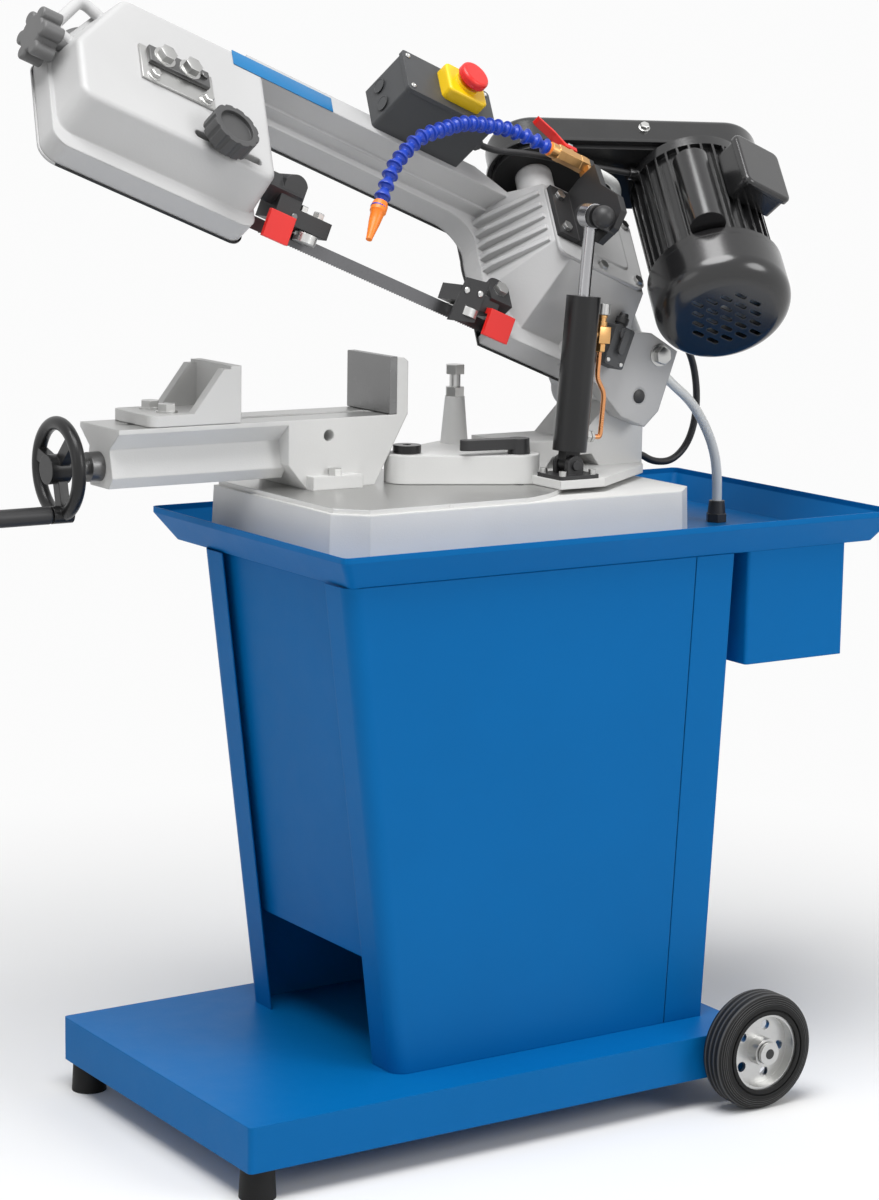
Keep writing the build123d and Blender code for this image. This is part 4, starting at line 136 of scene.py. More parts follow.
class Coat:
    """Finishes used on the saw; roughness, grain, relief and edge follow the colour."""

    BLUE = Finish("blue_powder", Recipe.PAINT, (0.0, 0.128, 0.38), 0.46, 1.6, 0.05, 1.6,
                  tone=0.015, shine=0.1)
    # The bow's finish is the bed casting's white paint made darker, as painted shade on the bow's faces.
    WHITE = Finish("bow_casting_painted_shade", Recipe.CAST, (0.48, 0.48, 0.48), 0.42, 2.4, 0.16, 3.0, tone=0.03)
    GREY = Finish("bed_casting", Recipe.CAST, (0.68, 0.68, 0.67), 0.5, 1.7, 0.25, 2.2, tone=0.05)
    BLACK = Finish("black_gloss", Recipe.PAINT, (0.01, 0.01, 0.0105), 0.33, 1.5, 0.12, 1.2,
                   coat=0.08, shine=0.32)
    MOTOR = Finish("motor_gloss", Recipe.PAINT, (0.011, 0.011, 0.0115), 0.22, 1.5, 0.06, 1.4, coat=0.35)
    BLACK_CAST = Finish("black_casting", Recipe.CAST, (0.016, 0.016, 0.017), 0.45, 1.6, 0.25, 1.0)
    PLASTIC = Finish("black_moulded", Recipe.MOULDED, (0.018, 0.018, 0.019), 0.46, 0.7, 0.12, 1.2)
    KNOB = Finish("grey_moulded", Recipe.MOULDED, (0.055, 0.055, 0.056), 0.5, 0.8, 0.12, 1.6)
    STAR = Finish("star_moulded", Recipe.MOULDED, (0.12, 0.12, 0.12), 0.5, 0.8, 0.12, 1.6)
    BOX = Finish("box_moulded", Recipe.MOULDED, (0.045, 0.047, 0.05), 0.5, 0.6, 0.12, 1.2)
    YELLOW = Finish("yellow_moulded", Recipe.MOULDED, (0.85, 0.55, 0.004), 0.38, 0.8, 0.05, 1.2)
    RED = Finish("red_moulded", Recipe.MOULDED, (0.72, 0.018, 0.014), 0.36, 0.8, 0.04, 1.2)
    ORANGE = Finish("orange_moulded", Recipe.MOULDED, (0.86, 0.2, 0.01), 0.38, 0.8, 0.04, 0.6)
    HOSE = Finish("blue_segments", Recipe.MOULDED, (0.008, 0.045, 0.4), 0.34, 0.9, 0.03, 0.6)
    PLATE = Finish("name_plate", Recipe.PAINT, (0.0, 0.15, 0.37), 0.4, 2.0, 0.01, 0.4, coat=0.1)
    RUBBER = Finish("black_rubber", Recipe.RUBBER, (0.009, 0.009, 0.009), 0.6, 0.9, 0.2, 1.5, shine=0.22)
    CABLE = Finish("cable_sheath", Recipe.RUBBER, (0.014, 0.014, 0.015), 0.5, 0.7, 0.1, 0.4)
    CLEAR = Finish("clear_hose", Recipe.CLEAR, (0.86, 0.87, 0.85), 0.24, 1.0, 0.02, 0.4)
    ZINC = Finish("zinc_plate", Recipe.BRUSHED, (0.52, 0.52, 0.51), 0.33, 0.6, 0.05, 0.5, metal=1.0)
    STEEL = Finish("bright_steel", Recipe.BRUSHED, (0.6, 0.6, 0.59), 0.3, 0.4, 0.05, 0.5, metal=1.0)
    DARK_STEEL = Finish("dark_steel", Recipe.BRUSHED, (0.16, 0.16, 0.16), 0.38, 0.5, 0.08, 0.5, metal=1.0)
    CHROME = Finish("hard_chrome", Recipe.BRUSHED, (0.4, 0.4, 0.41), 0.24, 0.3, 0.01, 0.5, metal=1.0)
    GROUND = Finish("swirl_ground", Recipe.SWIRL, (0.2, 0.2, 0.2), 0.32, 16.0, 0.06, 0.6, metal=1.0)
    BLADE = Finish("blade_steel", Recipe.BRUSHED, (0.13, 0.13, 0.135), 0.4, 0.4, 0.05, 0.2, metal=0.9)
    IRON = Finish("wheel_iron", Recipe.BRUSHED, (0.3, 0.3, 0.3), 0.42, 0.8, 0.1, 0.8, metal=1.0)
    BRASS = Finish("bare_brass", Recipe.BRUSHED, (0.64, 0.37, 0.15), 0.33, 0.6, 0.05, 0.6, metal=1.0)
    COPPER = Finish("copper_tube", Recipe.BRUSHED, (0.66, 0.3, 0.13), 0.28, 0.8, 0.04, 0.4, metal=1.0)
    FLOOR = Finish("pale_floor", Recipe.STAGE, (0.86, 0.86, 0.86), 0.7)


class Value:
    """One shader value; arithmetic on it adds Math nodes."""

    def __init__(self, tree: "Wiring", socket: NodeSocket) -> None:
        """Wraps a socket of a tree."""
        self.tree = tree
        self.socket = socket

    def _math(self, operation: str, other: Number) -> "Value":
        """Adds a Math node on this value and another."""
        return self.tree.node("ShaderNodeMath", {0: self, 1: other}, operation=operation)

    __add__ = __radd__ = partialmethod(_math, "ADD")
    __sub__ = partialmethod(_math, "SUBTRACT")
    __mul__ = partialmethod(_math, "MULTIPLY")
    __pow__ = partialmethod(_math, "POWER")
    above = partialmethod(_math, "GREATER_THAN")
    wave = partialmethod(_math, "SINE", 0.0)

    def __rsub__(self, other: float) -> "Value":
        """A constant less this value."""
        return self.tree.node("ShaderNodeMath", {0: other, 1: self}, operation="SUBTRACT")

    def ramp(self, low: float, high: float) -> "Value":
        """Smooth step from 0 at low to 1 at high."""
        inputs = {"Value": self, "From Min": low, "From Max": high}
        return self.tree.node("ShaderNodeMapRange", inputs, interpolation_type="SMOOTHSTEP")


class Wiring:
    """A node tree of any kind."""

    def __init__(self, tree: bpy.types.NodeTree) -> None:
        """Works on an existing tree."""
        self.tree = tree

    def node(self, kind: str, inputs: dict | None = None, out: str | int = 0, **settings: object) -> Value:
        """Adds any node.

        Args:
            kind: Blender's node type.
            inputs: values or constants by input name or number.
            out: output to return.
            settings: properties of the node.

        Returns:
            The chosen output.
        """
        made = self.tree.nodes.new(kind)
        for key, value in settings.items():
            setattr(made, key, value)
        for key, value in (inputs or {}).items():
            self.join(made.inputs[key], value)
        return Value(self, made.outputs[out])

    def join(self, socket: NodeSocket, value: Input) -> None:
        """Links a value, or sets a constant, on a socket."""
        if isinstance(value, Value):
            self.tree.links.new(value.socket, socket)
        else:
            socket.default_value = value


class ShaderTree(Wiring):
    """The tree of a material or of the world."""

    def __init__(self, owner: Material | World, surface: str = "Principled BSDF") -> None:
        """Takes over a new owner's tree, with its surface node."""
        owner.use_nodes = True
        super().__init__(owner.node_tree)
        self.owner = owner
        self.surface = self.tree.nodes[surface]

    def set(self, **inputs: Input) -> None:
        """Sets inputs of the surface; underscores stand for spaces."""
        for key, value in inputs.items():
            self.join(self.surface.inputs[key.replace("_", " ")], value)

    def place(self, scale: Triple = (1.0, 1.0, 1.0)) -> Value:
        """Object coordinates, stretched."""
        spot = self.node("ShaderNodeTexCoord", out="Object")
        return self.node("ShaderNodeMapping", {"Vector": spot, "Scale": scale})

    def noise(self, where: Value, scale: float, detail: float = 3.0) -> Value:
        """Fractal noise from 0 to 1."""
        return self.node("ShaderNodeTexNoise", {"Vector": where, "Scale": scale, "Detail": detail})

    def mix(self, first: Input, second: Input, share: Number) -> Value:
        """Mix of two colours."""
        made = self.tree.nodes.new("ShaderNodeMix")
        made.data_type = "RGBA"
        sockets = [s for s in made.inputs if s.type == "RGBA"]
        self.join(made.inputs[0], share)
        self.join(sockets[0], first)
        self.join(sockets[1], second)
        return Value(self, next(s for s in made.outputs if s.type == "RGBA"))

    def seen(self) -> Value:
        """One on rays from the camera, straight, mirrored or through glass."""
        kinds = ("Camera", "Glossy", "Transmission")
        rays = [self.node("ShaderNodeLightPath", out=f"Is {kind} Ray") for kind in kinds]
        return rays[0] + rays[1] + rays[2]

    def given(self, name: str) -> Value:
        """The value that now feeds an input of the surface."""
        return Value(self, self.surface.inputs[name].links[0].from_socket)

    def parts(self, where: Value) -> tuple[Value, Value, Value]:
        """The three parts of a vector."""
        made = self.node("ShaderNodeSeparateXYZ", {"Vector": where})
        return tuple(Value(self, s) for s in made.socket.node.outputs)


class MaterialLibrary:
    """Procedural materials made from finishes, each once."""

    slow_rate, cloud_rate = 7.0, 40.0
    brush_stretch, machining_stretch = (0.04, 1.0, 1.0), (0.05, 1.0, 1.0)
    shadow_zone = (0.6, 1.4)
    ring_pitch, groove_pitch, groove_depth = 0.0021, 0.0068, 0.0008
    wall_start, wall_end, tread_start = (0.0505, 0.0515), (0.059, 0.06), (0.0604, 0.0612)

    def __init__(self) -> None:
        """Starts with no material."""
        self.made: dict[str, Material] = {}

    def get(self, finish: Finish) -> Material:
        """The material of a finish."""
        if finish.name not in self.made:
            self.made[finish.name] = self.build(finish)
        return self.made[finish.name]

    @staticmethod
    def rgba(color: Triple, gain: float = 1.0) -> tuple[float, float, float, float]:
        """A colour with alpha, brightened by gain."""
        return tuple(min(1.0, c * gain) for c in color) + (1.0,)

    def build(self, finish: Finish) -> Material:
        """Builds one material.

        Args:
            finish: the finish to follow.

        Returns:
            The material.
        """
        tree = ShaderTree(bpy.data.materials.new(finish.name))
        if finish.recipe is Recipe.STAGE:
            return self.stage(tree, finish)
        where = tree.place()
        slow = tree.noise(where, self.slow_rate, 2.0)
        cloud = tree.noise(where, self.cloud_rate, 4.0)
        fine = self.grain(tree, finish, where)
        light, dark = self.rgba(finish.color, 1 + finish.tone), self.rgba(finish.color, 1 - finish.tone)
        color = tree.mix(dark, light, slow.ramp(0.3, 0.7))
        if finish.recipe in (Recipe.CAST, Recipe.RUBBER):
            pit = fine.ramp(0.62, 0.8) * 0.35
            color = tree.mix(color, self.rgba(finish.color, 0.72), pit)
        if finish.recipe is Recipe.BRUSHED:
            color = tree.mix(color, self.rgba(finish.color, 0.7), fine.ramp(0.55, 0.85) * 0.5)
        tree.set(Base_Color=color, Metallic=finish.metal, Coat_Weight=finish.coat, Coat_Roughness=0.12)
        tree.set(Specular_IOR_Level=finish.shine)
        tree.set(Roughness=finish.rough + (cloud - 0.5) * 0.14 + (fine - 0.5) * 0.1)
        if finish.recipe is Recipe.CLEAR:
            tree.set(Transmission_Weight=0.08, IOR=1.42)
        soft = tree.node("ShaderNodeBevel", {"Radius": finish.edge * MM}, samples=6)
        depth = finish.grain * 0.4 * MM
        bump = {"Height": fine, "Strength": finish.relief, "Distance": depth, "Normal": soft}
        tree.set(Normal=tree.node("ShaderNodeBump", bump))
        return tree.owner

    def stage(self, tree: ShaderTree, finish: Finish) -> Material:
        """Floor that keeps the shadow near the saw and is plain white to the camera farther off.

        Args:
            tree: the material's new tree.
            finish: the floor's finish.

        Returns:
            The material.
        """
        tree.set(Base_Color=self.rgba(finish.color), Roughness=finish.rough, Specular_IOR_Level=0.2)
        x, y, z = tree.parts(tree.place())
        far = ((x * x + y * y + z * z) ** 0.5).ramp(*self.shadow_zone)
        glow = tree.node("ShaderNodeEmission", {"Color": WHITE, "Strength": WHITE_LEVEL})
        floor = Value(tree, tree.surface.outputs[0])
        mixed = tree.node("ShaderNodeMixShader", {0: tree.seen() * far, 1: floor, 2: glow})
        tree.join(tree.tree.nodes["Material Output"].inputs["Surface"], mixed)
        return tree.owner

    def grain(self, tree: ShaderTree, finish: Finish, where: Value) -> Value:
        """Fine grain of a finish, from 0 to 1."""
        rate = 1000 / finish.grain
        if finish.recipe is Recipe.BRUSHED:
            return tree.noise(tree.place(self.brush_stretch), rate)
        if finish.recipe is Recipe.SWIRL:
            inputs = {"Vector": where, "Scale": rate, "Randomness": 1.0}
            cell = tree.node("ShaderNodeTexVoronoi", inputs, out="Distance")
            ring = (cell * 95.0).wave() * 0.5 + 0.5
            return ring * 0.7 + tree.noise(where, 900.0, 2.0) * 0.3
        if finish.recipe is Recipe.CAST:
            lump = tree.noise(where, rate, 4.0)
            return lump * 0.7 + tree.noise(where, rate * 2.3, 2.0) * 0.3
        return tree.noise(where, rate)

    def machined(self, finish: Finish, bare: Finish, low: float, high: float) -> Material:
        """Paint that gives way to bare machined metal between two heights on faces that look up.

        Args:
            finish: the paint.
            bare: the metal.
            low, high: the heights in metres.

        Returns:
            The material.
        """
        tree = ShaderTree(self.build(replace(finish, name=f"{finish.name}_machined_{bare.name}")))
        height = tree.parts(tree.place())[2]
        facing = tree.parts(tree.node("ShaderNodeNewGeometry", out="True Normal"))[2]
        mask = height.above(low) * (high - height).above(0.0) * facing.above(0.9)
        lines = tree.noise(tree.place(self.machining_stretch), 1800.0, 2.0)
        shade = tree.mix(self.rgba(bare.color, 0.62), self.rgba(bare.color, 0.95), lines)
        tree.set(Base_Color=tree.mix(tree.given("Base Color"), shade, mask), Metallic=mask * 0.9)
        tree.set(Roughness=tree.given("Roughness") * (1.0 - mask) + (lines * 0.2 + 0.25) * mask)
        return tree.owner

    def tyre(self, finish: Finish, axle: Pair) -> Material:
        """Rubber with fine rings on the tyre's wall and grooves in its tread, with a painted highlight on
        their ridges.

        Args:
            finish: the rubber.
            axle: x and z of the axle in metres.

        Returns:
            The material.
        """
        tree = ShaderTree(self.build(replace(finish, name=f"{finish.name}_tyre")))
        reach, across = self.from_axle(tree, axle)
        wall = reach.ramp(*self.wall_start) * (1.0 - reach.ramp(*self.wall_end))
        rings = (reach * (2 * pi / self.ring_pitch)).wave() * wall
        grooves = (across * (2 * pi / self.groove_pitch)).wave() * reach.ramp(*self.tread_start)
        ridge = (rings + grooves) * 0.5 + 0.5
        # Painted highlight: the ridges of the rings and grooves are painted lighter.
        pale = tree.mix(tree.given("Base Color"), self.rgba(finish.color, 8.0), ridge.ramp(0.55, 1.0))
        bump = {"Height": ridge, "Distance": self.groove_depth, "Normal": tree.given("Normal")}
        bump["Strength"] = 1.0
        tree.set(Base_Color=pale, Normal=tree.node("ShaderNodeBump", bump))
        return tree.owner

    def bore_shaded(self, finish: Finish, axle: Pair, radius: float) -> Material:
        """Metal whose end shows the bore round the axle as a black disc of painted shade; radius in metres.
        """
        tree = ShaderTree(self.build(replace(finish, name=f"{finish.name}_bored")))
        solid = self.from_axle(tree, axle)[0].ramp(radius * 0.95, radius * 1.05)
        # Painted shade: a black disc on the axle's end stands for the shade inside the bore.
        dark = tree.mix(self.rgba(Coat.BLACK.color), tree.given("Base Color"), solid)
        tree.set(Base_Color=dark, Metallic=solid * finish.metal)
        return tree.owner

    @staticmethod
    def from_axle(tree: ShaderTree, axle: Pair) -> tuple[Value, Value]:
        """Distance from an axle that runs along y, and the place along it, in metres."""
        x, y, z = tree.parts(tree.place())
        side, height = x - axle[0], z - axle[1]
        return (side * side + height * height) ** 0.5, y


LIBRARY = MaterialLibrary()


def show(name: str, data: ID) -> Object:
    """A new object with the data, linked to the scene."""
    made = bpy.data.objects.new(name, data)
    bpy.context.scene.collection.objects.link(made)
    return made


def plain_mesh(shown: Object) -> Mesh:
    """An object's mesh with its modifiers or its curve worked out."""
    bpy.context.view_layer.update()
    graph = bpy.context.evaluated_depsgraph_get()
    return bpy.data.meshes.new_from_object(shown.evaluated_get(graph))


def spline(name: str, kind: str, points: Path) -> bpy.types.Curve:
    """A curve of one spline, POLY or NURBS, on points in metres."""
    data = bpy.data.curves.new(name, "CURVE")
    data.dimensions = "3D"
    line = data.splines.new(kind)
    line.points.add(len(points) - 1)
    for spot, point in zip(line.points, points):
        spot.co = (*point, 1.0)
    return data


def soften(mesh: Mesh, angle: float | None = None) -> None:
    """Shades a mesh smooth, but for edges sharper than an angle in degrees."""
    mesh.polygons.foreach_set("use_smooth", [True] * len(mesh.polygons))
    if angle is not None:
        mesh.set_sharp_from_angle(angle=radians(angle))


class Shape:
    """A mesh drawn in local millimetres and kept in frame metres."""

    smooth_angle = 32.0

    def __init__(self, axes: Matrix) -> None:
        """Starts an empty drawing in the given axes."""
        self.axes = axes
        self.mesh = bmesh.new()
        self.finishes: list[Finish] = []

    def _take(self, part: bmesh.types.BMesh, finish: Finish, rounding: float = 0.0) -> None:
        """Moves a part in local millimetres into the drawing, with its edges bevelled by a rounding."""
        if rounding > 0:
            sharp = [e for e in part.edges if len(e.link_faces) == 2 and e.calc_face_angle() > 0.6]
            bmesh.ops.bevel(part, geom=sharp, offset=rounding, segments=2, affect="EDGES",
                            clamp_overlap=True, profile=0.5)
        if finish not in self.finishes:
            self.finishes.append(finish)
        index = self.finishes.index(finish)
        part.transform(self.axes)
        bmesh.ops.recalc_face_normals(part, faces=part.faces)
        for face in part.faces:
            face.material_index = index
        spare = bpy.data.meshes.new("spare")
        part.to_mesh(spare)
        self.mesh.from_mesh(spare)
        bpy.data.meshes.remove(spare)
        part.free()

    def box(self, low: Point, high: Point, finish: Finish, rounding: float = 0.0) -> "Shape":
        """Adds a block between two corners."""
        part = bmesh.new()
        bmesh.ops.create_cube(part, size=1.0)
        low, high = Vector(low), Vector(high)
        part.transform(Matrix.Translation((low + high) / 2) @ Matrix.Diagonal((*(high - low), 1)))
        self._take(part, finish, rounding)
        return self

    def lathe(self, start: Point, end: Point, profile: Sequence[Pair], finish: Finish, sides: int) -> "Shape":
        """Adds a turned form.

        Args:
            start: point where the profile's distance is zero.
            end: point on the axis that gives its direction.
            profile: pairs of distance along the axis and radius.
            finish: surface.
            sides: number of sides.

        Returns:
            This shape.
        """
        part = bmesh.new()
        direction = (Vector(end) - Vector(start)).normalized()
        turn = Matrix.Translation(Vector(start)) @ direction.to_track_quat("Z", "Y").to_matrix().to_4x4()
        angles = [2 * pi * i / sides for i in range(sides)]
        rings = []
        for distance, radius in profile:
            points = [turn @ Vector((radius * cos(a), radius * sin(a), distance)) for a in angles]
            rings.append([part.verts.new(p) for p in points])
        for lower, upper in zip(rings, rings[1:]):
            self._band(part, lower, upper)
        part.faces.new(rings[0][::-1])
        part.faces.new(rings[-1])
        self._take(part, finish)
        return self

    @staticmethod
    def _band(part: bmesh.types.BMesh, lower: list, upper: list) -> None:
        """Joins two rings of corners by faces."""
        for i in range(len(lower)):
            j = (i + 1) % len(lower)
            part.faces.new((lower[i], lower[j], upper[j], upper[i]))

    def prism(self, outline: Sequence[Point], depth: Point, finish: Finish) -> "Shape":
        """Adds a prism from a flat outline along a depth vector."""
        part = bmesh.new()
        lower = [part.verts.new(Vector(p)) for p in outline]
        upper = [part.verts.new(Vector(p) + Vector(depth)) for p in outline]
        part.faces.new(lower[::-1])
        part.faces.new(upper)
        self._band(part, lower, upper)
        self._take(part, finish)
        return self

    def bolt(self, foot: Point, direction: Point, across: float, height: float, finish: Finish) -> "Shape":
        """Adds a hex head with a washer and a shallow dome."""
        foot, direction = Vector(foot), Vector(direction).normalized()
        washer = [(0, across * 0.72), (1.2, across * 0.72), (1.4, across * 0.68)]
        head = [(1.2, across * 0.577), (height, across * 0.577), (height + 0.7, across * 0.48)]
        self.lathe(foot, foot + direction, washer, finish, 24)
        return self.lathe(foot, foot + direction, head, finish, 6)

    def piece(self, name: str, body: str, slot: str | None = None) -> Object:
        """Turns the drawing into a piece that rides on a body.

        Args:
            name: piece name.
            body: CAD body it moves with.
            slot: not used.

        Returns:
            The object.
        """
        data = bpy.data.meshes.new(name)
        self.mesh.to_mesh(data)
        self.mesh.free()
        soften(data, self.smooth_angle)
        for finish in self.finishes:
            data.materials.append(LIBRARY.get(finish))
        made = show(name, data)
        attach(made, body)
        log.info("%s rides on %s", name, body)
        return made


class Repeater:
    """Geometry Nodes groups that repeat one object, baked to plain meshes."""

    seed, smooth_angle = 7, 35.0
    least, most, drawn = 2, 3, 1  # sockets of the Random Value node for plain numbers
    sockets = {
        "Geometry": "Geometry", "Part": "Object", "Count": "Int", "Heading": "Vector",
        "Side": "Vector", "Finish": "Material", "Spread": "Float", "Seed": "Int",
    }

    def __init__(self) -> None:
        """Makes both groups."""
        self.along = self._group("repeat_along_curve", True)
        self.points = self._group("repeat_on_points", False)

    def _group(self, name: str, curve: bool) -> GeometryNodeTree:
        """A group with the named inputs, for copies along a curve or on loose points."""
        group = bpy.data.node_groups.new(name, "GeometryNodeTree")
        for label, kind in self.sockets.items():
            group.interface.new_socket(label, in_out="INPUT", socket_type=f"NodeSocket{kind}")
        group.interface.new_socket("Geometry", in_out="OUTPUT", socket_type="NodeSocketGeometry")
        tree = Wiring(group)
        outputs = group.nodes.new("NodeGroupInput").outputs
        given = {label: Value(tree, outputs[label]) for label in self.sockets}
        spots, heading = given["Geometry"], given["Heading"]
        if curve:
            spots = tree.node("GeometryNodeResampleCurve", {"Curve": spots, "Count": given["Count"]})
            heading = tree.node("GeometryNodeInputTangent")
        align = "FunctionNodeAlignRotationToVector"
        turn = tree.node(align, {"Vector": heading}, axis="Z")
        turn = tree.node(align, {"Rotation": turn, "Vector": given["Side"]}, axis="X", pivot_axis="Z")
        chance = {self.least: 1.0 - given["Spread"], self.most: 1.0, "Seed": given["Seed"]}
        size = tree.node("FunctionNodeRandomValue", chance, self.drawn)
        part = tree.node("GeometryNodeObjectInfo", {"Object": given["Part"]}, "Geometry")
        place = {"Points": spots, "Instance": part, "Rotation": turn, "Scale": size}
        copies = tree.node("GeometryNodeInstanceOnPoints", place)
        real = tree.node("GeometryNodeRealizeInstances", {"Geometry": copies})
        paint = tree.node("GeometryNodeSetMaterial", {"Geometry": real, "Material": given["Finish"]})
        tree.join(group.nodes.new("NodeGroupOutput").inputs[0], paint)
        return group

    def bake(
        self, name: str, points: Path, part: Shape, finish: Finish, body: str, **inputs: object
    ) -> Object:
        """Repeats a part on points and keeps the plain mesh.

        Args:
            name: piece name.
            points: places in metres, joined to a line where a Count is given.
            part: form drawn at the origin, pointing along +Z.
            finish: surface of the copies.
            body: CAD body the piece moves with.
            inputs: other named inputs of the group.

        Returns:
            The baked piece.
        """
        curve = "Count" in inputs
        carrier = self.carrier(points, curve)
        data = bpy.data.meshes.new(f"{name}_part")
        part.mesh.to_mesh(data)
        part.mesh.free()
        single = bpy.data.objects.new(f"{name}_part", data)
        group = self.along if curve else self.points
        modifier = carrier.modifiers.new("repeat", "NODES")
        modifier.node_group = group
        values = {"Part": single, "Finish": LIBRARY.get(finish), "Seed": self.seed, "Spread": 0.0, **inputs}
        for socket in group.interface.items_tree:
            if socket.in_out == "INPUT" and socket.name in values:
                modifier[socket.identifier] = values[socket.name]
        carrier.update_tag()
        baked = plain_mesh(carrier)
        baked.name = name
        carrier.modifiers.remove(modifier)
        bpy.data.objects.remove(carrier)
        bpy.data.objects.remove(single)
        soften(baked, self.smooth_angle)
        made = show(name, baked)
        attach(made, body)
        log.info("%s rides on %s", name, body)
        return made

    @staticmethod
    def carrier(points: Path, curve: bool) -> Object:
        """A poly curve through points in metres, or a mesh of them loose."""
        if curve:
            return show("path", spline("path", "POLY", points))
        data = bpy.data.meshes.new("points")
        data.from_pydata([tuple(p) for p in points], [], [])
        return show("points", data)


class Route:
    """Smooth lines: a NURBS spline with the route's points as its control points."""

    @staticmethod
    def mesh(name: str, points: Path, radius: float = 0.0) -> Mesh:
        """The spline's plain mesh, round where it has a radius in millimetres."""
        data = spline(name, "NURBS", points)
        data.bevel_depth = radius * MM
        data.bevel_resolution = 5
        data.resolution_u = 10
        data.use_fill_caps = radius > 0
        data.splines[0].order_u = 3
        data.splines[0].use_endpoint_u = True
        curve = show(name, data)
        mesh = plain_mesh(curve)
        bpy.data.objects.remove(curve)
        return mesh

    @classmethod
    def centreline(cls, points: Path) -> list[Vector]:
        """Points along the spline, in metres."""
        mesh = cls.mesh("centreline", points)
        path = [v.co.copy() for v in mesh.vertices]
        bpy.data.meshes.remove(mesh)
        return path

    @staticmethod
    def length(path: Path) -> float:
        """Length of a line of points."""
        return sum((b - a).length for a, b in zip(path, path[1:]))

    @classmethod
    def tube(cls, name: str, points: Path, radius: float, finish: Finish) -> Object:
        """A round tube along the spline, as a plain mesh.

        Args:
            name: piece name.
            points: control points in metres.
            radius: radius in millimetres.
            finish: surface.

        Returns:
            The object, not yet riding on a body.
        """
        mesh = cls.mesh(name, points, radius)
        mesh.name = name
        mesh.materials.clear()
        mesh.materials.append(LIBRARY.get(finish))
        soften(mesh)
        return show(name, mesh)


@dataclass
class Cord:
    """A round cord along the CAD route's points, in place of a CAD node.

    It rides on one body; with two, its mesh is baked in place and rides on neither.
    """

    name: str
    node: str
    points: list[Vector]
    radius: float
    finish: Finish
    bodies: tuple[str, ...]
    slot: str
    stretch: tuple[Vector, Vector] | None = None

    def build(self) -> None:
        made = Route.tube(self.name, self.points, self.radius, self.finish)
        path = Route.centreline(self.points)
        length = Route.length(path)
        if len(self.bodies) == 2:
            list(self.bodies)
            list(self.stretch)
            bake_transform(made)
        else:
            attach(made, self.bodies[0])
        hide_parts(self.node)
        spots = [tuple(p) for p in path]
        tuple(spots[0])
        2 * self.radius * MM
        log.info("%s is %.3f m long", self.name, length)


@dataclass(frozen=True)
class Spot:
    """A round region of a CAD node with a finish of its own, in millimetres from its foot along its axis."""

    node: str
    finish: Finish
    axes: Matrix
    foot: Triple
    axis: Triple
    radius: float
    depth: float

    def cover(self) -> None:
        """Gives the faces inside the region its finish."""
        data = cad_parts[self.node].data
        data.materials.append(LIBRARY.get(self.finish))
        index = len(data.materials) - 1
        inverse = self.axes.inverted()
        foot, axis = Vector(self.foot), Vector(self.axis)
        local = [inverse @ v.co - foot for v in data.vertices]
        heights = [p.dot(axis) for p in local]
        inside = [
            -0.05 < h < self.depth and (p - axis * h).length < self.radius
            for p, h in zip(local, heights)
        ]
        found = [face for face in data.polygons if all(inside[i] for i in face.vertices)]
        for face in found:
            face.material_index = index
        log.info("%s: %d faces in %s", self.node, len(found), self.finish.name)


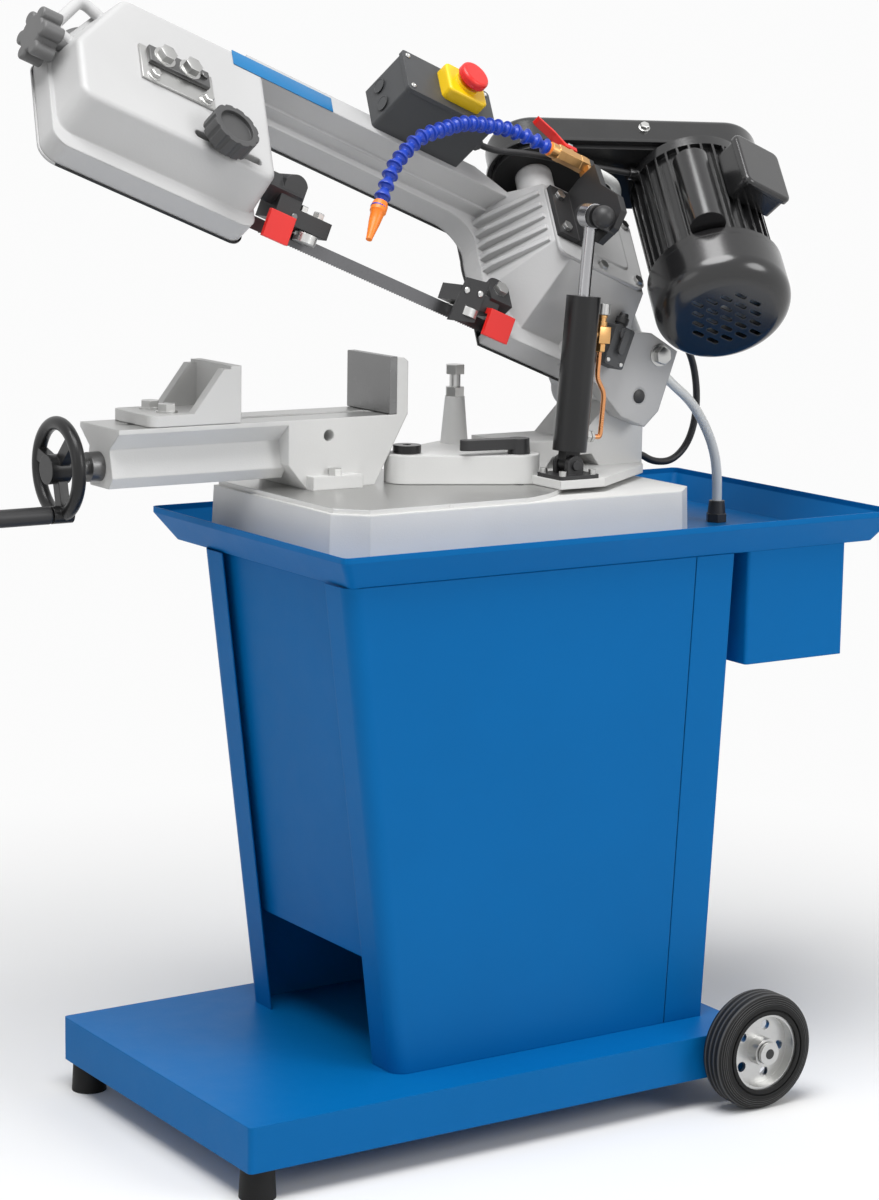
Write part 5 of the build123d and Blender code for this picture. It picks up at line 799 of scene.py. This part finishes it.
class Painter:
    """Finishes of the CAD nodes that stay shown."""

    axle, bore = (0.2543, 0.0625), 0.0055
    base_top, bed_top = (0.6496, 0.6504), (0.7222, 0.7230)
    plain_nodes: dict[Finish, str] = {
        Coat.BLUE: "base_plate cabinet_front cabinet_left cabinet_shell drip_tray coolant_tank",
        Coat.GREY: "swivel_casting moving_jaw",
        Coat.WHITE: "bow_frame gearbox_cover",
        Coat.BLACK: "handwheel cylinder_barrel back_cover motor_plate",
        Coat.MOTOR: "motor_body fan_cover belt_cover",
        Coat.BLACK_CAST: "cylinder_mount fixed_guide guide_arm rod_bracket",
        Coat.PLASTIC: "hose_gland crank_grip clamp_lever",
        Coat.KNOB: "lock_knob",
        Coat.STAR: "tension_knob",
        Coat.BOX: "switch_box limit_switch",
        Coat.YELLOW: "switch_housing",
        Coat.RED: "guard_right guard_left stop_button valve_lever",
        Coat.RUBBER: "rubber_feet drive_belt",
        Coat.ZINC: "front_rim rear_rim stop_bolt flow_knob",
        Coat.STEEL: "worm_shaft motor_rotor",
        Coat.DARK_STEEL: "vise_screw",
        Coat.CHROME: "cylinder_rod",
        Coat.GROUND: "jaw_plate",
        Coat.BLADE: "saw_blade",
        Coat.IRON: "idler_wheel drive_wheel tension_slide",
        Coat.BRASS: "coolant_valve oil_line",
    }

    def run(self) -> None:
        """Gives every shown CAD node its material, then the spots theirs."""
        for finish, nodes in self.plain_nodes.items():
            for node in nodes.split():
                self.give(node, LIBRARY.get(finish))
        self.give("base_casting", LIBRARY.machined(Coat.GREY, Coat.STEEL, *self.base_top))
        self.give("vise_body", LIBRARY.machined(Coat.GREY, Coat.STEEL, *self.bed_top))
        tyre = LIBRARY.tyre(Coat.RUBBER, self.axle)
        self.give("front_tyre", tyre)
        self.give("rear_tyre", tyre)
        self.give("wheel_axle", LIBRARY.bore_shaded(Coat.ZINC, self.axle, self.bore))
        for spot in self.spots():
            spot.cover()

    @staticmethod
    def give(node: str, material: Material) -> None:
        """Sets one node's only material."""
        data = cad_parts[node].data
        data.materials.clear()
        data.materials.append(material)
        data.polygons.foreach_set("material_index", [0] * len(data.polygons))

    @staticmethod
    def spots() -> list[Spot]:
        """Bolt heads, rollers, knobs and edges that the CAD makes in one piece with painted castings."""
        bow, arm, tray = Layout.bow_axes, Layout.arm_axes, Layout.tray_axes
        away, top, zinc = (0, 1, 0), (0, 0, 1), Coat.ZINC
        corners = ((50, -33), (50, 50), (0, -35), (0, 52))
        mount = ((-28, -101), (-28, -67), (10, -101), (10, -67))
        sides = [Layout.blade_y + side for side in (-12.725, 12.725)]
        rows = [
            ("moving_jaw", zinc, tray, [(-417.6, y, 734.5) for y in (40, 76)], top, 13, 12),
            ("vise_body", zinc, tray, [(-238, y, 663.9) for y in (9.5, 106.5)], top, 9, 9),
            ("gearbox_cover", zinc, bow, [(x, v, 96.0) for x, v in corners], top, 7, 6),
            ("rod_bracket", zinc, bow, [(-50, v, 102.0) for v in (-8, 38)], top, 7, 6),
            ("fixed_guide", zinc, bow, [(-98, -67, 34.0)], top, 10, 8),
            ("cylinder_mount", zinc, tray, [(x, y, 660) for x, y in mount], top, 4.5, 18),
        ]
        for node, x in (("fixed_guide", -131), ("guide_arm", -340)):
            rollers = [(x - Layout.hinge_x, y, 2.0) for y in sides]
            rows.append((node, Coat.STEEL, arm, rollers, top, 12.6, 9.8))
        rows += [
            ("rod_bracket", Coat.PLASTIC, tray, [(13, -120, 931)], away, 14, 22),
            ("base_casting", Coat.BLACK, tray, [(-144, 19, 681)], top, 16, 10),
            ("swivel_casting", Coat.DARK_STEEL, tray, [(110, -60, 735)], away, 21, 24),
            ("back_cover", Coat.WHITE, bow, [(-640, -140, -12)], away, 30, 260),
        ]
        return [Spot(*row[:3], foot, *row[4:]) for row in rows for foot in row[3]]


@dataclass
class CoolantLine:
    """Segmented hose, its nozzle and the valve's fittings."""

    segments: int = 23
    overlap: float = 0.54
    neck: float = 4.6
    belly: float = 8.6

    def build(self, repeater: Repeater) -> None:
        """Makes the hose, nozzle and valve dressing."""
        self.hose(repeater)
        self.fittings()

    def hose(self, repeater: Repeater) -> None:
        """Segments that follow the spline, each a socket over the next one's ball."""
        spots = [
            (-84, 68, 130), (-100, 69, 130), (-119, 70, 129), (-140, 68, 128),
            (-171, 56, 128), (-201, 44, 127), (-229, 23, 122), (-251, 9, 115),
            (-265, -7, 105), (-281, -33, 95), (-287, -56, 85), (-291, -77, 75),
        ]
        path = Route.centreline([Layout.bow(*spot) for spot in spots])
        pitch = Route.length(path) / MM / (self.segments - 1)
        half, neck, belly = pitch * self.overlap, self.neck, self.belly
        ball = [(-half, neck * 0.9), (-half * 0.6, neck), (half * 0.3, belly * 0.97), (half * 0.4, belly)]
        ball += [(half * 0.54, belly), (half * 0.62, belly * 0.72), (half, neck * 0.9)]
        part = Shape(PLAIN).lathe((0, 0, 0), (0, 0, 1), ball, Coat.HOSE, 20)
        hose = repeater.bake("nozzle_hose_segments", path, part, Coat.HOSE, "bow", Count=self.segments)
        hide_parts("nozzle_hose")

    def fittings(self) -> None:
        """Orange nozzle and socket, nuts along the valve and the nut of its lever."""
        tip = Shape(Layout.bow_axes)
        cone = [(-4, 7.4), (0, 8.4), (7, 8.4), (9, 7.0), (20, 6.0), (38, 3.4), (41, 3.2)]
        tip.lathe((-291, -78, 74.6), (-299, -117, 58), cone, Coat.ORANGE, 24)
        socket = [(0, 7), (1, 8), (8, 8), (9.5, 7.4), (12, 6.2)]
        tip.lathe((-72.5, 68, 130), (-90, 68, 130), socket, Coat.ORANGE, 24)
        tip.piece("hose_nozzle", "bow")
        dress = Shape(Layout.bow_axes)
        gland = [(0, 8.6), (0.8, 9.2), (6, 9.2), (6.6, 7.2), (9, 6.8), (9.6, 6.2)]
        nut = [(0, 8.4), (0.8, 9.3), (9, 9.3), (10, 8.4)]
        lever_nut = [(0, 3), (5.6, 3), (5.7, 5.2), (8.6, 5.2), (9.2, 4.2)]
        nuts = ((-30.2, gland, Coat.PLASTIC), (-72.2, nut, Coat.BRASS), (-42, nut, Coat.BRASS))
        for x, profile, finish in nuts:
            dress.lathe((x, 68, 130), (0, 68, 130), profile, finish, 6)
        dress.lathe((-50, 79, 130), (-50, 99, 130), lever_nut, Coat.ZINC, 6)
        dress.piece("valve_fittings", "bow")


@dataclass
class OilLine:
    """Brass needle valve and bent copper tube beside the feed cylinder."""

    shift: float = 27.0
    bulge: float = 11.0
    tube_radius: float = 2.6

    def build(self) -> None:
        """Makes the fittings and the tube, which stand for the CAD line."""
        at, bulge = self.shift, self.shift + self.bulge
        stem = [(0, 5), (0.6, 5.5), (5, 5.5), (5.2, 4.4), (9, 4.4), (9.2, 5.4), (11.4, 5.4), (12, 5)]
        union = [(0, 6.2), (0.8, 6.9), (5, 6.9), (5.2, 5.0), (6.2, 5.0), (6.4, 6.4), (9.6, 6.4), (10, 6)]
        shape = Shape(Layout.cylinder_axes)
        shape.box((at - 7.4, -7.4, 128), (at + 7.4, 7.4, 146), Coat.BRASS, 1.0)
        shape.lathe((at, 0, 146), (at, 0, 200), stem, Coat.BRASS, 24)
        shape.lathe((18, 0, 137), (40, 0, 137), [(0, 4.6), (1, 5), (4, 5)], Coat.BRASS, 24)
        shape.lathe((at, 0, 128), (at, 0, 0), [(0, 5.2), (0.8, 5.8), (8, 5.8), (9, 4.6)], Coat.BRASS, 6)
        shape.lathe((18, 0, 30), (60, 0, 30), union, Coat.ZINC, 6)
        body = shape.piece("oil_fittings", "barrel", "oil_line")
        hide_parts("oil_line")
        path = [(at, 119), (at, 106), (at, 92), (at + self.bulge / 2, 84), (bulge, 76), (bulge, 60)]
        path += [(bulge, 44), (bulge, 30), (34, 30), (27, 30)]
        points = [Layout.cylinder_axes @ Vector((x, 0, s)) for x, s in path]
        tube = Route.tube("copper_tube", points, self.tube_radius, Coat.COPPER)
        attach(tube, "barrel")
        log.info("%s rides on %s", tube.name, "barrel")


@dataclass
class BowDetails:
    """Small parts on the bow: name plate, tension block, guide bolts, teeth and screws."""

    tooth_pitch: float = 3.2

    def build(self, repeater: Repeater) -> None:
        """Makes all the small parts."""
        self.plates()
        self.guide_bolts()
        self.teeth(repeater)
        self.box_screws(repeater)
        self.fittings()

    def plates(self) -> None:
        """Bare blue plate on the beam's front, and the bolted zinc plate over the tension slide."""
        plate = Shape(Layout.bow_axes).box((-436, 67.5, 52), (-310, 88, 53), Coat.PLATE, 0.3)
        plate.piece("name_plate", "bow")
        shape = Shape(Layout.bow_axes)
        shape.box((-556, -21, 52), (-470, 26, 55), Coat.ZINC, 0.6)
        shape.box((-548, 2, 55), (-477, 24, 60), Coat.DARK_STEEL, 1.0)
        for x in (-531, -501):
            shape.bolt((x, 13.5, 60), (0, 0, 1), 17, 9, Coat.ZINC)
        for x in (-543, -481):
            shape.bolt((x, -14, 55), (0, 0, 1), 10, 6, Coat.ZINC)
        shape.lathe((-484, 14, 60), (-484, 14, 80), [(0, 4), (3, 4), (3.5, 3.2)], Coat.DARK_STEEL, 20)
        shape.piece("tension_block", "bow")

    def guide_bolts(self) -> None:
        """Hex bolts on the guides' feet and screws of their guards."""
        hinge_x = Layout.hinge_x
        pan, cap = [(0, 3.4), (0.8, 3.4), (1.8, 2.4)], [(0, 3.6), (1, 3.6), (1.6, 3)]
        fixed = [((x, -47, z), pan, Coat.ZINC) for x, z in ((-144, 27), (-127, 29))]
        sliding = [((-363, -44, 22), cap, Coat.DARK_STEEL)]
        for body, feet, screws in (("bow", (-125, -112), fixed), ("guide", (-349, -329), sliding)):
            shape = Shape(Layout.arm_axes)
            for x in feet:
                shape.bolt((x - hinge_x, -30, 30.5), (0, 0, 1), 11, 7, Coat.ZINC)
            for (x, y, z), profile, finish in screws:
                shape.lathe((x - hinge_x, y, z), (x - hinge_x, -60, z), profile, finish, 20)
            shape.piece(f"guide_bolts_{body}", body)

    def teeth(self, repeater: Repeater) -> None:
        """Teeth along the cutting edge between the guides."""
        axes = Layout.arm_axes
        ends = [axes @ Vector((x - Layout.hinge_x, Layout.blade_y, -3.45)) for x in (-384, -98)]
        count = int((ends[1] - ends[0]).length / MM / self.tooth_pitch)
        part = Shape(PLAIN)
        part.prism([(0, -0.3, -1.3), (1.0, -0.3, -1.3), (0, -0.3, 1.5)], (0, 0.6, 0), Coat.BLADE)
        repeater.bake("blade_teeth", ends, part, Coat.BLADE, "bow", Count=count, Side=-Layout.rise)

    def box_screws(self, repeater: Repeater) -> None:
        """Lid screws of the switch box."""
        head = [(0, 3.0), (0.6, 3.2), (1.6, 2.6), (1.9, 1.2), (1.2, 0.4)]
        part = Shape(PLAIN).lathe((0, 0, 0), (0, 0, 1), head, Coat.ZINC, 16)
        spots = [Layout.bow(x, v, 116) for x in (-252, -148) for v in (81, 126)]
        repeater.bake("box_screws", spots, part, Coat.ZINC, "bow", Heading=Layout.out, Side=Layout.along)

    def fittings(self) -> None:
        """Bolt of the belt cover, fittings of the front ear and its switch, knock-outs of the switch box."""
        cover = Shape(Layout.bow_axes).bolt((38.6, 132, 166.5), (-0.4855, 0, 0.8742), 9, 5, Coat.ZINC)
        cover.piece("cover_bolt", "bow")
        ear = Shape(Layout.arm_axes)
        ear.bolt((8, -46, 50), (0, -1, 0), 17, 9, Coat.ZINC)
        ear.lathe((0, -46, 0), (0, -60, 0), [(0, 7.6), (0.3, 7.6), (0.5, 7.2)], Coat.PLASTIC, 28)
        gland = [(0, 6.2), (3.5, 6.2), (3.7, 7.2), (10, 7.2), (11, 5.4), (15, 4.6)]
        ear.lathe((-62, -57, 57.8), (-62, -57, 99), gland, Coat.PLASTIC, 12)
        for x in (-71, -53):
            ear.lathe((x, -68, 19), (x, -99, 19), [(0, 2.4), (0.7, 2.4), (1.2, 1.8)], Coat.ZINC, 16)
        ear.piece("ear_fittings", "bow")
        box = Shape(Layout.bow_axes)
        rim = [(0, 8.2), (0.5, 8.2), (0.5, 7.4), (0.25, 7.2)]
        for v in (90, 116):
            box.lathe((-258.9, v, 74), (-300, v, 74), rim, Coat.BOX, 28)
        box.piece("knock_outs", "bow")


@dataclass
class StandDetails:
    """Degree marks on the base's ring."""

    marks: int = 46
    mark_radius: float = 150.0
    first_mark: int = -42

    def build(self, repeater: Repeater) -> None:
        """Makes the marks round the swivel's pivot."""
        turns = [radians(i + self.first_mark) for i in range(self.marks)]
        ring = [(self.mark_radius * cos(turn), self.mark_radius * sin(turn)) for turn in turns]
        spots = [Layout.tray(x - 144, y + 19, 650.02) for x, y in ring]
        part = Shape(PLAIN).box((0, -3.2, -0.3), (0.15, 3.2, 0.3), Coat.DARK_STEEL)
        upright = Vector((0, 0, 1))
        repeater.bake("ring_scale", spots, part, Coat.DARK_STEEL, "stand", Count=self.marks, Side=upright)


@dataclass
class Cables:
    """The four cords of the saw."""

    hose_radius: float = 5.5
    lead_radius: float = 4.0
    switch_radius: float = 3.5

    def build(self) -> None:
        """Makes every cord."""
        self.hoses()
        self.leads()

    def hoses(self) -> None:
        """Clear coolant hoses, which meet at the hinge column."""
        bow, tray = Layout.bow, Layout.tray
        joint = tray(189, 24.5, 755)
        upper = [(-24, 68, 130), (2, 68, 130), (22, 73, 123), (42, 80, 102), (62, 84, 76), (84, 80, 52)]
        upper += [(108, 66, 32), (122, 40, 16)]
        upper = [bow(*p) for p in upper] + [tray(167, 40, 798), tray(178, 29, 768), joint]
        Cord("coolant_hose_up", "coolant_hose_upper", upper, self.hose_radius, Coat.CLEAR,
             ("bow", "swivel"), "hose_clear", (bow(100, 70, 40), joint)).build()
        lower = [(200, 20, 742), (231, 13, 716), (252, 6, 676), (258, 0, 640), (258, 0, 606.5)]
        lower = [joint] + [tray(*p) for p in lower]
        Cord("coolant_hose_low", "coolant_hose_lower", lower, self.hose_radius, Coat.CLEAR,
             ("swivel", "stand"), "hose_clear", (joint, tray(258, 0, 610))).build()

    def leads(self) -> None:
        """Cables from under the motor down to the swivel, and from the switch box to the motor's gland."""
        bow, tray = Layout.bow, Layout.tray
        start = bow(134, -20, 88)
        cable = [(236, 28, 776), (252, 32, 724), (247, 34, 676), (222, 33, 650), (190, 30, 650)]
        cable += [(165, 28, 664), (134, 28, 664)]
        cable = [start, start - Layout.out * 34 * MM] + [tray(*p) for p in cable]
        Cord("motor_lead", "motor_cable", cable, self.lead_radius, Coat.CABLE,
             ("bow", "swivel"), "cable", (start, tray(247, 34, 690))).build()
        turn = atan2(132 - 153, 36 - 109)
        gland = Layout.along * cos(turn) + Layout.out * sin(turn)
        end = bow(109, 92, 153) + gland * 76 * MM
        lead = [bow(x, 92, n) for x, n in ((-133, 80), (-114, 80), (-88, 93), (-56, 105), (-20, 112))]
        lead += [end + gland * 22 * MM, end]
        Cord("switch_lead", "switch_cable", lead, self.switch_radius, Coat.CABLE, ("bow",), "cable").build()


class Studio:
    """Camera at the photo's place, soft lights and a pale floor."""

    soft_light = 0.36
    yaw, pitch, roll = 0.581039, 0.175172, 0.0155684
    eye = (-1827.0, -2610.9, 1076.7)
    focal, photo_height, sensor = 2989.18, 1200, 36.0
    reach, bend, steps = 3.2, 3.0, 24
    lamps = (
        ("top", (-0.7, -0.7, 3.6), (0.0, 0.0, 0.6), 2.4, 112),
        ("key", (1.7, -3.1, 2.1), (0.0, 0.0, 0.6), 1.8, 42),
        ("fill", (-3.4, -0.6, 1.8), (0.0, 0.0, 0.7), 1.6, 6),
    )

    def build(self) -> None:
        """Makes the whole stage."""
        scene = bpy.context.scene
        scene.view_settings.view_transform = "Standard"
        self.camera(scene)
        self.world(scene)
        self.backdrop()
        for lamp in self.lamps:
            self.area(*lamp)

    def camera(self, scene: Scene) -> None:
        """Pinhole camera fitted to the photo; focal length in the photo's pixels."""
        data = bpy.data.cameras.new("camera")
        data.sensor_width = self.sensor
        data.lens = self.focal / self.photo_height * self.sensor
        data.clip_end = 60.0
        made = show("camera", data)
        place = Matrix.Translation(Layout.tray(*self.eye))
        for angle, axis in ((-self.yaw, "Z"), (pi / 2 - self.pitch, "X"), (self.roll, "Z")):
            place = place @ Matrix.Rotation(angle, 4, axis)
        made.matrix_world = place
        scene.camera = made

    def world(self, scene: Scene) -> None:
        """Even soft light that the camera and polished metal see as white."""
        tree = ShaderTree(bpy.data.worlds.new("surroundings"), "Background")
        levels = {"Value": tree.seen(), "To Min": self.soft_light, "To Max": WHITE_LEVEL}
        tree.set(Color=WHITE, Strength=tree.node("ShaderNodeMapRange", levels))
        scene.world = tree.owner

    def backdrop(self) -> None:
        """Pale floor that curves up behind the saw."""
        ahead = Vector((sin(self.yaw), cos(self.yaw), 0))
        side = Vector((ahead.y, -ahead.x, 0))
        turns = [pi / 2 * i / self.steps for i in range(self.steps + 1)]
        line = [(-7.0, 0.0)]
        line += [(self.reach + self.bend * sin(t), self.bend * (1 - cos(t))) for t in turns]
        line += [(self.reach + self.bend, 8.0)]
        points = [ahead * a + side * w + Vector((0, 0, z)) for a, z in line for w in (-9, 9)]
        faces = [(2 * i, 2 * i + 1, 2 * i + 3, 2 * i + 2) for i in range(len(line) - 1)]
        data = bpy.data.meshes.new("backdrop")
        data.from_pydata([tuple(p) for p in points], [], faces)
        soften(data)
        data.materials.append(LIBRARY.get(Coat.FLOOR))
        show("backdrop", data)

    def area(self, name: str, place: Triple, target: Triple, size: float, power: float) -> None:
        """One soft light aimed at a target."""
        data = bpy.data.lights.new(name, "AREA")
        data.shape = "DISK"
        data.size = size
        data.energy = power
        made = show(name, data)
        made.location = place
        made.rotation_mode = "QUATERNION"
        made.rotation_quaternion = (Vector(target) - Vector(place)).to_track_quat("-Z", "Y")


def main() -> None:
    """Builds the looks and the stage."""
    logging.basicConfig(level=logging.INFO)
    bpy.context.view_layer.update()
    repeater = Repeater()
    Painter().run()
    Cables().build()
    CoolantLine().build(repeater)
    OilLine().build()
    BowDetails().build(repeater)
    StandDetails().build(repeater)
    Studio().build()


if __name__ == "__main__":
    main()
